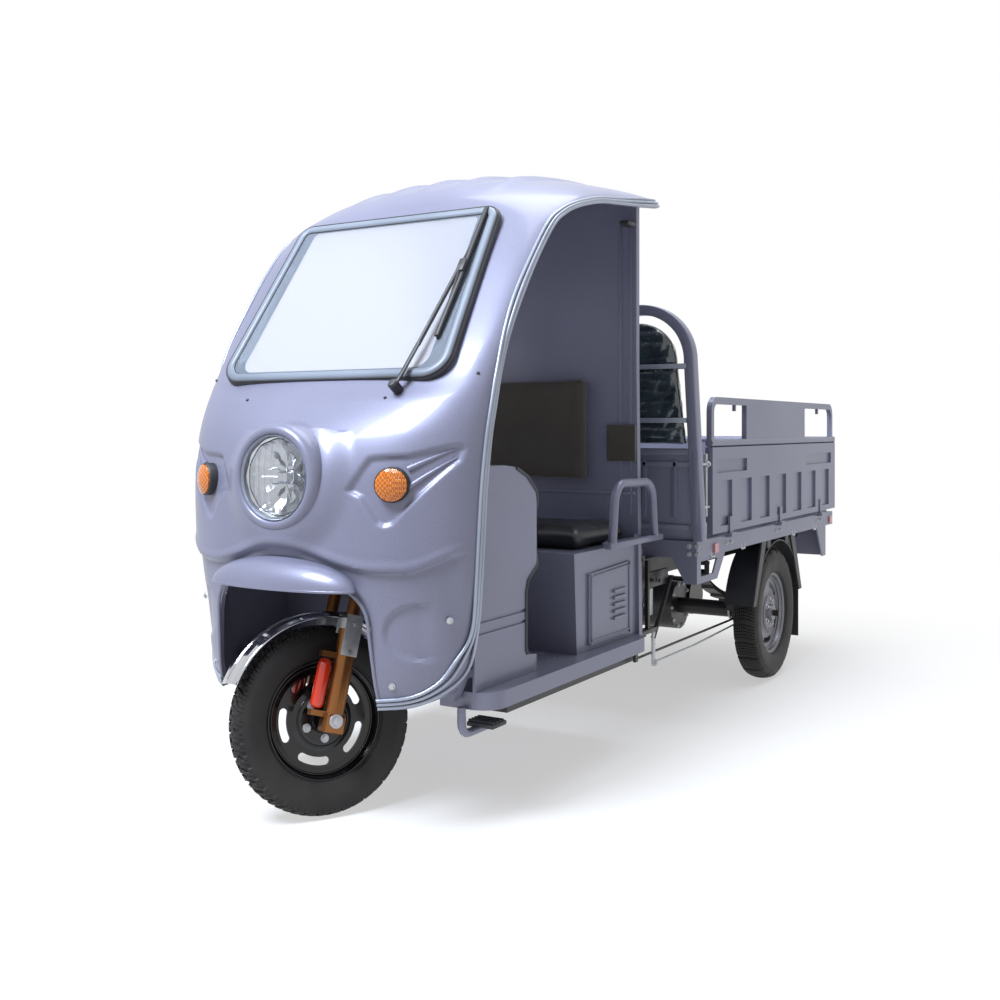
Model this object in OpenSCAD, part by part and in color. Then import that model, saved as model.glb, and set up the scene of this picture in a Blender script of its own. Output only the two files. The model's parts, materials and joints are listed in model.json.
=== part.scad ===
// Electric cargo tricycle: a half-open cab over one steered front wheel,
// and a drop-side cargo bed over a sprung rear axle.
// +Z is up, the front faces -Y and +X is the vehicle's left side.
// Lengths are worked out from the front wheel's axle line, and place() centres the whole on the floor.

/* [Wheels and track] */
// Distance from the front wheel's axle line to the rear axle
wheelbase = 2115; // [2000:5:2250]
// Outer diameter of the front tyre
front_tyre_d = 470; // [450:1:480]
// Width of the front tyre
front_tyre_w = 82; // [70:1:90]
// Outer diameter of the rear tyres
rear_tyre_d = 505; // [490:1:520]
// Width of the rear tyres
rear_tyre_w = 96; // [85:1:105]
// Distance between the middles of the rear tyres
rear_track = 880; // [860:2:890]
// Diameter of the front rim at its lips
front_rim_d = 326; // [310:1:335]
// Diameter of the rear rims at their lips
rear_rim_d = 336; // [320:1:345]
// Diameter of the rear axle tube
axle_tube_d = 62; // [50:1:75]
// Diameter of the wheel spindles
spindle_d = 24; // [20:1:30]

/* [Steering] */
// Lean of the steering axis from upright, degrees
rake = 18; // [14:1:22]
// Turn of the steering as it stands, degrees, to the right
steer_rest = 30; // [0:1:40]
// Distance of the front axle ahead of the steering axis
fork_offset = 34; // [25:1:45]
// Distance from the wheel's middle plane to each fork leg
fork_leg_x = 74; // [70:1:85]
// Diameter of the fork's lower legs
slider_d = 52; // [46:1:54]
// Diameter of the fork's upper tubes
stanchion_d = 32; // [28:1:34]
// Height of the lower yoke above the axle, along the steering axis
yoke_h = 322; // [315:1:330]
// Half width of the handlebar
bar_half_w = 320; // [290:1:330]

/* [Cab] */
// Width of the cab's shell at its roof
cab_w = 912; // [890:2:930]
// Wall of the cab's moulded shell
shell_wall = 9; // [6:0.5:12]
// Height of the roof's crown
roof_h = 1738; // [1700:2:1760]
// Height of the roof's lengthwise ribs
roof_rib_h = 11; // [4:1:14]
// Half width of the opening over the front wheel
arch_half_w = 236; // [225:1:245]
// Thickness of the windscreen
glass_t = 5; // [4:0.5:7]
// Width of the cab's floor
floor_w = 900; // [880:2:920]
// Height of the top of the floor
floor_z = 335; // [325:1:345]
// Depth of the floor pan
floor_t = 42; // [36:1:50]
// Thickness of the wall behind the driver
back_wall_t = 22; // [16:1:30]
// Distance from the front axle line to that wall
back_wall_y = 1000; // [980:2:1020]

/* [Seat] */
// Width of the seat's box
seat_box_w = 800; // [760:2:820]
// Height of the top of the seat's box
seat_box_z = 618; // [600:1:640]
// Thickness of the seat's cushion
cushion_t = 68; // [55:1:75]
// Width of the back pad
back_pad_w = 500; // [400:2:540]
// Height of the back pad
back_pad_h = 330; // [300:2:350]

/* [Cargo bed] */
// Inside length of the bed
bed_len = 1540; // [1450:5:1560]
// Outside width of the bed over its boards
bed_w = 1010; // [1000:2:1030]
// Height of the bed's floor
bed_z = 615; // [605:1:625]
// Height of the boards up to their top rail
board_h = 303; // [280:1:320]
// Thickness of the boards
board_t = 26; // [20:1:32]
// Height of the loop rail over the side boards
loop_h = 142; // [120:1:160]
// Diameter of the rails and loops
rail_d = 27; // [22:1:32]
// Height of the hoop at the head of the bed
hoop_z = 1378; // [1340:2:1400]
// Distance from the front axle line to the bed's headboard
headboard_y = 1296; // [1280:1:1310]

/* [Hidden] */
$fn = 48;

// gap left between pieces that turn or seat on each other
fit = 0.3;
// colours of the finishes
paint = "#8a8a9e";
dark = "#26262a";
// the bed: its front face, its tail and the hinge line of the tailgate
bed_front_y = headboard_y + 40;
bed_rear_y = bed_front_y + bed_len;
board_x = bed_w / 2 - board_t;
hinge_z = bed_z - 12;
hinge_d = 16;
pin_d = 8;
knuckle_l = 30;
board_gap = 6;
// the frame's side rails and the bed's beams on top of them
rail_x = rear_track / 2 - 110;
rail_h = 60;
rail_top_z = floor_z - floor_t;
bed_floor_t = 14;
beam_z = 545;
beam_h = bed_z - bed_floor_t - beam_z;
tail_y = bed_rear_y + board_t + hinge_d;
visor_y = -226;
frame_shift = -(visor_y + tail_y) / 2;

// the steered wheel leans as it turns, so its axle height follows from the tyre's round crown
crown_r = 44;
lean = sin(steer_rest) * sin(rake);
front_axle_z = (front_tyre_d / 2 - crown_r) * sqrt(1 - lean * lean) + crown_r;
steer_base_z = front_axle_z - fork_offset * cos(steer_rest) * sin(rake);
steer_base_y = fork_offset * cos(rake);

module place() { translate([0, frame_shift, 0]) children(); }
module steered() {
  place() translate([0, steer_base_y, steer_base_z]) rotate([-rake, 0, 0]) rotate([0, 0, -steer_rest])
    children();
}
module both_sides() { children(); mirror([1, 0, 0]) children(); }
module along_x(x0, x1) { translate([x0, 0, 0]) rotate([90, 0, 90]) linear_extrude(x1 - x0) children(); }
module along_y(y0, y1) { translate([0, y1, 0]) rotate([90, 0, 0]) linear_extrude(y1 - y0) children(); }
module rod_x(x0, x1, d) { translate([x0, 0, 0]) rotate([0, 90, 0]) cylinder(d = d, h = x1 - x0); }
module rod_y(y0, y1, d) { translate([0, y0, 0]) rotate([-90, 0, 0]) cylinder(d = d, h = y1 - y0); }
module soft_rect(w, h, r) {
  translate([r, 0]) square([w - 2 * r, h]);
  translate([0, r]) square([w, h - 2 * r]);
  for (x = [r, w - r], y = [r, h - r]) translate([x, y]) circle(r = r);
}
// a tube bent in one plane: straight runs between corners, each corner an arc of radius r
// that laps a little over the runs on both sides of it
bend_lap = 3;
bend_swell = 0.8;
function heading(p, i) = let (v = p[i + 1] - p[i]) atan2(v[1], v[0]);
function turn(p, i) = let (t = heading(p, i) - heading(p, i - 1)) t > 180 ? t - 360 : t < -180 ? t + 360 : t;
function setback(p, i, r) = i == 0 || i == len(p) - 1 ? 0 : r * tan(abs(turn(p, i)) / 2);
module bent_tube(p, r, d) {
  for (i = [0:len(p) - 2]) {
    a = setback(p, i, r);
    translate([p[i][0], p[i][1], 0]) rotate([0, 0, heading(p, i)])
      rod_x(a, norm(p[i + 1] - p[i]) - setback(p, i + 1, r), d);
  }
  for (i = [1:len(p) - 2]) {
    t = turn(p, i);
    side = t > 0 ? 1 : -1;
    translate([p[i][0], p[i][1], 0]) rotate([0, 0, heading(p, i - 1)])
      translate([-setback(p, i, r), side * r, 0]) rotate([0, 0, (t > 0 ? -90 : 90 + t) - bend_lap])
        rotate_extrude(angle = abs(t) + 2 * bend_lap) translate([r, 0]) circle(d = d + bend_swell);
  }
}
// turns a drawing in X and Y so that it stands in the plane of Y and Z, or of X and Z
module upright_yz() { multmatrix([[0, 0, 1, 0], [1, 0, 0, 0], [0, 1, 0, 0], [0, 0, 0, 1]]) children(); }
module upright_xz() { rotate([90, 0, 0]) children(); }

// The cab's shell is a loft. Columns: half width, then Y and Z on the centre line,
// Y and Z at the side edge, and the roundness of the section between the two.
shell_half = floor_w / 2;
shell_stations = [
  [shell_half - 90, -160, 300, 66, 316, 2.0],
  [shell_half - 66, -168, 360, 64, 362, 2.0],
  [shell_half - 48, -172, 430, 66, 430, 2.0],
  [shell_half - 32, -174, 510, 64, 510, 2.0],
  [shell_half - 16, -174, 600, 50, 600, 2.0],
  [shell_half - 6, -172, 700, 44, 700, 2.0],
  [shell_half - 3, -166, 800, 48, 800, 2.1],
  [shell_half - 1, -152, 880, 56, 880, 2.2],
  [shell_half, -118, 960, 70, 960, 2.4],
  [shell_half + 1, -62, 1030, 90, 1035, 2.7],
  [shell_half + 1, -8, 1082, 112, 1110, 2.9],
  [shell_half + 2, 66, 1184, 148, 1196, 2.9],
  [shell_half + 2, 140, 1292, 208, 1292, 2.8],
  [cab_w / 2 - 3, 214, 1401, 290, 1405, 2.7],
  [cab_w / 2 - 2, 288, 1510, 376, 1498, 2.5],
  [cab_w / 2 - 1, 326, 1562, 436, 1536, 2.4],
  [cab_w / 2, 362, 1600, 500, 1562, 2.2],
  [cab_w / 2, 420, 1640, 580, 1584, 2.1],
  [cab_w / 2, 510, 1674, 660, 1600, 2.0],
  [cab_w / 2, 640, 1702, 760, 1612, 2.0],
  [cab_w / 2, 800, roof_h - 14, 870, 1625, 2.0],
  [cab_w / 2, 960, roof_h - 2, 980, 1640, 2.0],
  [cab_w / 2, 1062, roof_h, 1040, 1648, 2.0]];
shell_columns = 52;
rib_pitch = 118;
rib_span = 330;
function rib(x, y) = abs(x) > rib_span || y < 400 ? 0
  : roof_rib_h * min(1, (y - 400) / 160) * max(0, cos(360 * x / rib_pitch)) * min(1, (rib_span - abs(x)) / 40);
function shell_point(s, a) = let (
  u = abs(sin(a)), n = s[5], f = 1 - pow(abs(cos(a)), 2 / n),
  x = s[0] * sign(sin(a)) * pow(u, 2 / n), y = s[1] + (s[3] - s[1]) * f
) [x, y, s[2] + (s[4] - s[2]) * f + rib(x, y)];
function clamp(i, n) = max(0, min(n, i));
function shell_outer(st, m, a0, a1) = [for (s = st) [for (j = [0:m]) shell_point(s, a0 + (a1 - a0) * j / m)]];
function unit(v) = v / norm(v);
function inward(g, i, j) = let (
  n = len(g) - 1, m = len(g[0]) - 1,
  a = g[i][clamp(j + 1, m)] - g[i][clamp(j - 1, m)], b = g[clamp(i + 1, n)][j] - g[clamp(i - 1, n)][j]
) unit(cross(b, a));
function flat_grid(g) = [for (r = g) for (p = r) p];
module shell_loft(st, m, wall, proud = 0, from = -90, to = 90) {
  skin = shell_outer(st, m, from, to);
  n = len(st);
  outer = [for (i = [0:n - 1]) [for (j = [0:m]) skin[i][j] - proud * inward(skin, i, j)]];
  inner = [for (i = [0:n - 1]) [for (j = [0:m]) skin[i][j] + wall * inward(skin, i, j)]];
  c = m + 1;
  k = n * c;
  quads = concat(
    [for (i = [0:n - 2], j = [0:m - 1]) [i * c + j, i * c + j + 1, (i + 1) * c + j + 1, (i + 1) * c + j]],
    [for (i = [0:n - 2], j = [0:m - 1])
      [k + i * c + j, k + (i + 1) * c + j, k + (i + 1) * c + j + 1, k + i * c + j + 1]],
    [for (j = [0:m - 1]) [j, k + j, k + j + 1, j + 1]],
    [for (j = [0:m - 1], e = [(n - 1) * c]) [e + j, e + j + 1, k + e + j + 1, k + e + j]],
    [for (i = [0:n - 2]) [i * c, (i + 1) * c, k + (i + 1) * c, k + i * c]],
    [for (i = [0:n - 2]) [i * c + m, k + i * c + m, k + (i + 1) * c + m, (i + 1) * c + m]]);
  tris = [for (q = quads) for (t = [[q[0], q[2], q[1]], [q[0], q[3], q[2]]]) t];
  polyhedron(concat(flat_grid(outer), flat_grid(inner)), tris);
}

// the windscreen: a flat pane on the raked front of the shell
screen_foot = [0, -4, 1086];
screen_rake = 34.2;
screen_h = 560;
screen_low_w = 364;
screen_top_w = 338;
seal_w = 30;
module on_screen() { translate(screen_foot) rotate([90 - screen_rake, 0, 0]) children(); }
module screen_outline(grow) {
  corners = [[screen_low_w - 70, 70, 70], [screen_top_w - 46, screen_h - 46, 46]];
  hull() for (s = [-1, 1], c = corners) translate([s * c[0], c[1]]) circle(r = c[2] + grow);
}

// lamps
lamp_z = 851;
lamp_y = -170;
lamp_ring_d = 250;
lamp_lens_d = 196;
indicator_x = 292;
indicator_z = 838;
indicator_y = -112;
indicator_d = 76;
indicator_turn = 24;
module at_headlight() { translate([0, lamp_y, lamp_z]) rotate([90, 0, 0]) children(); }
module at_indicator() {
  translate([indicator_x, indicator_y, indicator_z]) rotate([90, 0, indicator_turn]) children();
}

// the arch over the front wheel, and the lower corners of the two legs
arch_top_z = 600;
module arch_outline() {
  hull() {
    for (s = [-1, 1]) translate([s * (arch_half_w - 90), arch_top_z - 90]) circle(r = 90);
    translate([-arch_half_w - 14, 200]) square([2 * arch_half_w + 28, 120]);
  }
}
module leg_corner() {
  difference() {
    translate([300, 200]) square([260, 230]);
    hull() { translate([280, 440]) circle(r = 130); translate([200, 440]) circle(r = 130); }
    translate([200, 440]) square([400, 60]);
  }
}
// the pointed recess round each indicator, drawn on the front view and cut to an even depth
wing_depth = 4;
wing_points = [[178, 820], [226, 904], [321, 911], [420, 936], [432, 914], [426, 886], [292, 740], [254, 744], [216, 804]];
wing_rows = [5, 8];
wing_columns = [30, shell_columns];
function column_angle(j) = -90 + 180 * j / shell_columns;
module wing_recess() {
  intersection() {
    along_y(-260, 30) polygon(wing_points);
    shell_loft([for (i = [wing_rows[0]:wing_rows[1]]) shell_stations[i]], wing_columns[1] - wing_columns[0], wing_depth, 4,
      column_angle(wing_columns[0]), column_angle(wing_columns[1]));
  }
}
// the beak over the front wheel: the front of a flattened dome, open below
beak_half = 222;
beak_y = -160;
beak_low_z = 588;
beak_rise = 76;
beak_wall = 6;
module beak_form(inset) {
  translate([0, beak_y, beak_low_z])
    scale([beak_half - inset, beak_y - visor_y - inset, beak_rise - inset] / 100) sphere(r = 100, $fn = 56);
}
module front_visor() {
  color(paint) place() difference() {
    beak_form(0);
    beak_form(beak_wall);
    translate([-300, -400, beak_low_z - 200]) cube([600, 600, 200]);
    for (seat = [shell_stations[4], shell_stations[5]]) translate([0, 0, 560]) linear_extrude(160)
      polygon([for (j = [0:shell_columns]) let (p = shell_point(seat, -90 + 180 * j / shell_columns)) [p[0], p[1] - fit]]);
  }
}
wiper_at = [246, -34];
wiper_pivot_d = 26;
module headlight_bezel() {
  r = lamp_ring_d / 2;
  at_headlight() rotate_extrude() polygon([[lamp_lens_d / 2 + 6, -64], [r + 12, -64], [r + 7, -10], [r + 1, 6],
    [r - 6, 15], [r - 14, 19], [lamp_lens_d / 2 + 6, 16]]);
}
module cab_shell() {
  color(paint) place() difference() {
    union() {
      shell_loft(shell_stations, shell_columns, shell_wall);
      headlight_bezel();
    }
    on_screen() translate([wiper_at[0], wiper_at[1], -60]) cylinder(d = wiper_pivot_d + 2 * fit, h = 120);
    on_screen() translate([0, 0, -160]) linear_extrude(320) screen_outline(-4);
    along_y(-400, 40) arch_outline();
    both_sides() along_y(-400, 40) leg_corner();
    at_headlight() translate([0, 0, -90]) cylinder(d = lamp_lens_d + 11, h = 200);
    both_sides() at_indicator() translate([0, 0, -90]) cylinder(d = indicator_d + 4 * fit, h = 180);
    both_sides() wing_recess();
  }
}
// the light beading along the shell's side edge, from the foot of the leg to the roof's rear
trim_in = 3;
trim_proud = 6;
trim_angle = 82;
trim_stations = [for (s = shell_stations) if (s[4] > 440) s];
module edge_trim() {
  color("silver") place() both_sides() shell_loft(trim_stations, 3, -fit, trim_proud, trim_angle, 90);
}

module windscreen_glass() {
  color("#cfd8e0") place() on_screen() translate([0, 0, -glass_t / 2]) linear_extrude(glass_t) screen_outline(-14);
}
module windscreen_seal() {
  color(dark) place() on_screen() translate([0, 0, -9]) difference() {
    linear_extrude(18) screen_outline(-4 - fit);
    translate([0, 0, -1]) linear_extrude(20) screen_outline(-seal_w);
    translate([0, 0, 9 - glass_t / 2 - fit]) linear_extrude(glass_t + 2 * fit) screen_outline(-14 + fit);
  }
}
module wiper() {
  // the arm pivots under the pane's corner and the blade lies along it
  color(dark) place() on_screen() translate([wiper_at[0], wiper_at[1], 0]) {
    translate([0, 0, -30]) cylinder(d = wiper_pivot_d, h = 52);
    translate([0, 0, 16]) rotate([0, 0, 3]) translate([-7, 0, 0]) cube([14, 500, 7]);
    translate([-34, 180, glass_t / 2 + fit]) cube([12, 374, 18]);
    translate([-34, 340, 14]) cube([30, 16, 7]);
  }
}
module headlight_ring() {
  r0 = lamp_lens_d / 2 + fit;
  r1 = lamp_lens_d / 2 + 5.2;
  color("silver") place() at_headlight() rotate_extrude()
    polygon([[r0, -40], [r1, -40], [r1, 20], [r1 - 2, 24], [r0, 18]]);
}
module headlight_lens() {
  color("#dfe4ea") place() at_headlight() {
    translate([0, 0, -40]) cylinder(d = lamp_lens_d, h = 52);
    translate([0, 0, 12]) intersection() {
      translate([0, 0, -230]) sphere(r = 254);
      cylinder(d = lamp_lens_d, h = 30);
    }
  }
}
module indicator_lamps() {
  color("orange") place() both_sides() at_indicator() {
    translate([0, 0, -26]) cylinder(d = indicator_d, h = 40);
    translate([0, 0, 14]) intersection() {
      translate([0, 0, -66]) sphere(r = 77);
      cylinder(d = indicator_d, h = 20);
    }
  }
}

// the fairing behind the shell, seen from the driver's side: Y and Z of its outer face
console_x = 404;
console_face = [[206, 876], [262, 870], [318, 846], [368, 806], [394, 758], [402, 700], [400, 652], [388, 622],
  [322, 576], [312, 548], [312, 400], [318, 386], [386, 376], [390, 366], [390, floor_z]];
console_rear_y = 402;
console_round = 44;
console_wall = 6;
console_grooves = [470, 498];
module console_plan(inset) {
  translate([-console_x + inset, -200, floor_z - 40]) linear_extrude(600)
    soft_rect(2 * (console_x - inset), console_rear_y + 200 - inset, console_round - inset);
}
module console() {
  color(paint) place() difference() {
    intersection() {
      along_x(-console_x, console_x) polygon(concat(console_face, [[66.6, floor_z], [66.6, 520], [62, 700], [90, 876]]));
      console_plan(0);
    }
    intersection() {
      along_x(-console_x, console_x) polygon([[262, 862], [314, 838], [362, 801], [388, 756], [396, 700], [394, 654],
        [383, 626], [316, 579], [306, 551], [306, 300], [0, 300], [0, 862]]);
      console_plan(console_wall);
    }
    both_sides() translate([console_x - 4, 0, 0]) along_x(0, 20) for (z = console_grooves)
      translate([80, z]) square([300, 8]);
    translate([-console_x - 1, 50, floor_z - 1]) cube([console_x - 60, 40, 30]);
    translate([-down_tube_w / 2 - 8, 250, floor_z - 1]) cube([down_tube_w + 16, 84, 60]);
    steered_hole();
  }
}
module steered_hole() {
  translate([0, steer_base_y, steer_base_z]) rotate([-rake, 0, 0]) cylinder(d = 66, h = 900);
}
module floor_pan() {
  color(paint) place() difference() {
    translate([-floor_w / 2, 72, floor_z - floor_t]) linear_extrude(floor_t)
      soft_rect(floor_w, back_wall_y - 72, 60);
    translate([-300, 0, floor_z - floor_t - 1]) linear_extrude(floor_t + 2) soft_rect(600, 296, 50);
    translate([-down_tube_w / 2 - 8, 200, floor_z - floor_t - 1]) cube([down_tube_w + 16, 140, floor_t + 2]);
    translate([-floor_w / 2 + 26, 320, floor_z - floor_t - 1]) cube([floor_w - 52, back_wall_y - 360, floor_t - 5]);
  }
}
seat_front_y = 604;
seat_top_y = 588;
cushion_front_y = 640;
seat_wall = 5;
module seat_base() {
  color(paint) place() {
    difference() {
      along_x(-seat_box_w / 2, seat_box_w / 2)
        polygon([[seat_front_y, floor_z], [seat_top_y, seat_box_z], [back_wall_y, seat_box_z], [back_wall_y, floor_z]]);
      along_x(-seat_box_w / 2 + seat_wall, seat_box_w / 2 - seat_wall)
        polygon([[seat_front_y + seat_wall * 1.4, floor_z - 1], [seat_top_y + seat_wall, seat_box_z - seat_wall],
          [back_wall_y - seat_wall, seat_box_z - seat_wall], [back_wall_y - seat_wall, floor_z - 1]]);
    }
  }
}
module access_panel() {
  // the cover on the left of the seat's box, with a row of louvres at its lower rear corner
  color(paint) place() translate([seat_box_w / 2, 0, 0]) {
    along_x(0, 7) polygon([[668, 352], [668, 554], [944, 566], [944, 352]]);
    along_x(6, 15) for (i = [0:4]) translate([820, 404 + 20 * i]) square([86, 8]);
  }
}
module battery_block() {
  color("#303438") place() translate([-290, 700, floor_z]) cube([580, 250, 190]);
}
cushion_z = seat_box_z + fit;
module seat_cushion() {
  color(dark) place() translate([-seat_box_w / 2 + 4, cushion_front_y, cushion_z]) linear_extrude(cushion_t)
    soft_rect(seat_box_w - 8, back_wall_y - cushion_front_y - fit, 30);
}
module backrest_pad() {
  color(dark) place() translate([-back_pad_w / 2, back_wall_y - fit, 800]) rotate([90, 0, 0]) linear_extrude(56)
    soft_rect(back_pad_w, back_pad_h, 14);
}
// the wall's top follows the roof's inner face
wall_crown_z = roof_h - 2;
wall_edge_z = 1642.5;
wall_half = 402;
wall_steps = 24;
function under_roof(x) = wall_edge_z + (wall_crown_z - wall_edge_z) * sqrt(1 - pow(2 * x / cab_w, 2)) - shell_wall - 0.7;
module rear_wall() {
  color(paint) place() {
    along_y(back_wall_y, back_wall_y + back_wall_t) polygon(concat(
      [[wall_half, 1150], [wall_half + 10, rail_top_z + fit], [-wall_half - 10, rail_top_z + fit], [-wall_half, 1150]],
      [for (i = [0:wall_steps]) let (x = wall_half * (2 * i / wall_steps - 1)) [x, under_roof(x)]]));
    both_sides() translate([300, back_wall_y + back_wall_t, 370]) cube([44, 36, 1240]);
  }
}
module grab_rails() {
  color("#70707c") place() both_sides() {
    translate([424, 0, 0]) {
      upright_yz() bent_tube([[806, seat_box_z + 12], [806, 790], [962, 802], [980, seat_box_z + 12]], 60, 26);
      translate([seat_box_w / 2 - 3.5 - 424, 770, seat_box_z + fit]) cube([43, 229, 18]);
    }
  }
}

bar_h = 770;
slider_top = 250;
damper_d = 34;
damper_out = 48;
damper_z = 20;
damper_l = 130;
module handlebar() {
  color(dark) steered() {
    translate([0, 0, bar_h]) rotate([20, 0, 0]) {
      bent_tube([[-bar_half_w, 120], [-200, 20], [-90, 0], [90, 0], [200, 20], [bar_half_w, 120]], 50, 22);
      for (s = [0, 1]) mirror([s, 0, 0]) translate([200, 20, 0]) rotate([0, 0, atan2(100, bar_half_w - 200)])
        {
          rod_x(40, norm([100, bar_half_w - 200]) + 6, 32);
          translate([20, -18, 0]) rod_y(-18, 18, 16);
          translate([20, -36, -4]) cube([112, 10, 8]);
        }
      translate([-84, -46, 17]) rotate([-12, 0, 0]) linear_extrude(34) soft_rect(168, 78, 22);
    }
  }
}
module fork_yoke() {
  color("#303030") steered() {
    translate([0, 0, yoke_h]) cylinder(d = 30, h = bar_h - yoke_h - 11 - fit);
    difference() {
      hull() {
        for (s = [-1, 1]) translate([s * fork_leg_x, -fork_offset, yoke_h]) cylinder(d = slider_d + 12, h = 26);
        translate([0, 0, yoke_h]) cylinder(d = 60, h = 26);
      }
      for (s = [-1, 1]) translate([s * fork_leg_x, -fork_offset, yoke_h - 1]) cylinder(d = stanchion_d + 2 * fit, h = 28);
    }
  }
}
module fork_legs() {
  color("#b08a3c") steered() translate([0, -fork_offset, 0]) {
    rod_x(-fork_leg_x, fork_leg_x, spindle_d);
    for (s = [-1, 1]) translate([s * fork_leg_x, 0, 0]) {
      translate([0, 0, -24]) cylinder(d = slider_d, h = slider_top + 24);
      translate([0, 0, slider_top]) cylinder(d = stanchion_d, h = yoke_h + 26 - slider_top);
      for (z = [damper_z - 14, damper_z + damper_l]) translate([-12, -damper_out - 15, z]) cube([24, damper_out, 14]);
    }
  }
}
module red_dampers() {
  color("red") steered() for (s = [-1, 1]) translate([s * fork_leg_x, -fork_offset - damper_out, damper_z]) {
    cylinder(d = 26, h = damper_l);
    translate([0, 0, 6]) cylinder(d = damper_d, h = damper_l - 22);
    for (z = [14, damper_l - 34]) translate([0, 0, z]) cylinder(d = damper_d + 4, h = 6);
  }
}
module front_fender() {
  color("silver") steered() translate([0, -fork_offset, 0]) {
    rotate([90, 0, 90]) rotate([0, 0, 20]) rotate_extrude(angle = 150) translate([front_tyre_d / 2 + 18, 0])
        polygon([[0, -48], [3, -50], [10, -40], [14, 0], [10, 40], [3, 50], [0, 48], [7, 39], [11, 0], [7, -39]]);
    bridge = fork_leg_x - stanchion_d / 2 - fit;
    translate([-bridge, -8, front_tyre_d / 2 + 24]) cube([2 * bridge, 16, 12]);
  }
}

// half of a tyre's section: radius from the axle against distance from the middle plane
function tyre_half(d, w, bead_r) = [
  [d / 2, 0], [d / 2 - 1.5, w * 0.14], [d / 2 - 6, w * 0.28], [d / 2 - 15, w * 0.41], [d / 2 - 30, w * 0.49],
  [d / 2 - 45, w * 0.5], [bead_r + 14, w * 0.44], [bead_r, w * 0.33]];
function mirrored(p) = concat(p, [for (i = [len(p) - 1:-1:0]) [p[i][0], -p[i][1]]]);
module tyre(d, w, rim_d) {
  rotate([0, 90, 0]) rotate_extrude() polygon(mirrored(tyre_half(d, w, rim_d / 2 - 14)));
}
// the hub ahead of each wheel's disc, and the brake drum behind it
hub_r = 34;
hub_out = 28;
hub_in = 28;
drum_r = 74;
module rim(d, w, dish, slots) {
  lip = w * 0.33 - fit;
  bed_r = d / 2 - 14 - fit;
  rotate([0, 90, 0]) {
    difference() {
      rotate_extrude() polygon([[bed_r, -lip], [bed_r, lip], [bed_r - 3, lip], [bed_r - 8, lip - 6], [bed_r - 12, dish + 8],
        [bed_r - 30, dish + 3], [80, dish + 3], [58, dish + 14], [hub_r, dish + 14],
        [hub_r - 4, dish + hub_out], [spindle_d / 2 + fit, dish + hub_out], [spindle_d / 2 + fit, dish - hub_in],
        [drum_r - 5, dish - hub_in], [drum_r, dish - hub_in + 5], [drum_r, dish - 2], [bed_r - 32, dish - 2],
        [bed_r - 18, dish - 2], [bed_r - 14, -lip + 6], [bed_r - 9, -lip]]);
      for (i = [0:slots - 1]) rotate([0, 0, i * 360 / slots]) translate([0, 0, dish - 20]) {
        rotate([0, 0, 18]) translate([bed_r - 46, 0, 0]) cylinder(r = 10, h = 50);
        rotate([0, 0, -18]) translate([bed_r - 46, 0, 0]) cylinder(r = 10, h = 50);
        rotate([0, 0, -18]) rotate_extrude(angle = 36) translate([bed_r - 56, 0]) square([20, 50]);
      }
    }
  }
}
module front_tyre() {
  color("#1c1c1e") steered() translate([0, -fork_offset, 0]) tyre(front_tyre_d, front_tyre_w, front_rim_d);
}
module front_rim() {
  color("#242426") steered() translate([0, -fork_offset, 0]) rim(front_rim_d, front_tyre_w, 0, 5);
}

down_tube_w = 44;
module main_frame() {
  low = rail_top_z - rail_h;
  high = beam_z - rail_h;
  end = bed_rear_y - 40;
  color("#2c2c30") place() {
    both_sides() along_x(rail_x - 25, rail_x + 25) polygon([
      [300, low], [1080, low], [1180, high], [end, high], [end, beam_z], [1145, beam_z], [1040, rail_top_z],
      [300, rail_top_z]]);
    for (y = [310, 950]) translate([-rail_x + 25, y, low + 8]) cube([2 * rail_x - 50, 40, rail_h - 16]);
    for (y = [1300, 2000, 2700]) translate([-rail_x + 25, y, high + 5]) cube([2 * rail_x - 50, 50, rail_h - 10]);
    difference() {
      union() {
        translate([0, steer_base_y, steer_base_z]) rotate([-rake, 0, 0]) translate([0, 0, yoke_h + 34])
          cylinder(d = 58, h = 190);
        along_x(-down_tube_w / 2, down_tube_w / 2) polygon([[170, 720], [214, 733], [326, 284], [300, 262], [276, 262]]);
      }
      translate([0, steer_base_y, steer_base_z]) rotate([-rake, 0, 0]) cylinder(d = 30 + 2 * fit, h = 900);
    }
  }
}
// the drop boards' hinges, drawn along X round the pin: what stays on the bed, and what turns with the board
side_hinges = [0.14, 0.5, 0.86];
tail_hinges = [-0.34, 0, 0.34];
module hinge_fixed() {
  for (s = [-1, 1]) translate([s * (knuckle_l / 2 + 7), 0, 0]) {
    rod_x(-6, 6, hinge_d);
    translate([-6, -34, -hinge_d / 2]) cube([12, 34, 5]);
  }
  rod_x(-knuckle_l / 2 - 8, knuckle_l / 2 + 8, pin_d);
}
module hinge_turning() {
  difference() {
    union() {
      rod_x(-knuckle_l / 2, knuckle_l / 2, hinge_d);
      translate([-knuckle_l / 2, -hinge_d / 2 - 4, 0]) cube([knuckle_l, 9, 62]);
    }
    rod_x(-knuckle_l, knuckle_l, pin_d + 2 * fit);
  }
}
module at_side_hinges() {
  for (k = side_hinges) translate([bed_w / 2 + hinge_d / 2, bed_front_y + k * bed_len, hinge_z])
    rotate([0, 0, -90]) children();
}
module at_tail_hinges() {
  for (k = tail_hinges) translate([k * bed_w, bed_rear_y + board_t + hinge_d / 2, hinge_z]) children();
}
bracket_low_z = 462;
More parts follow.
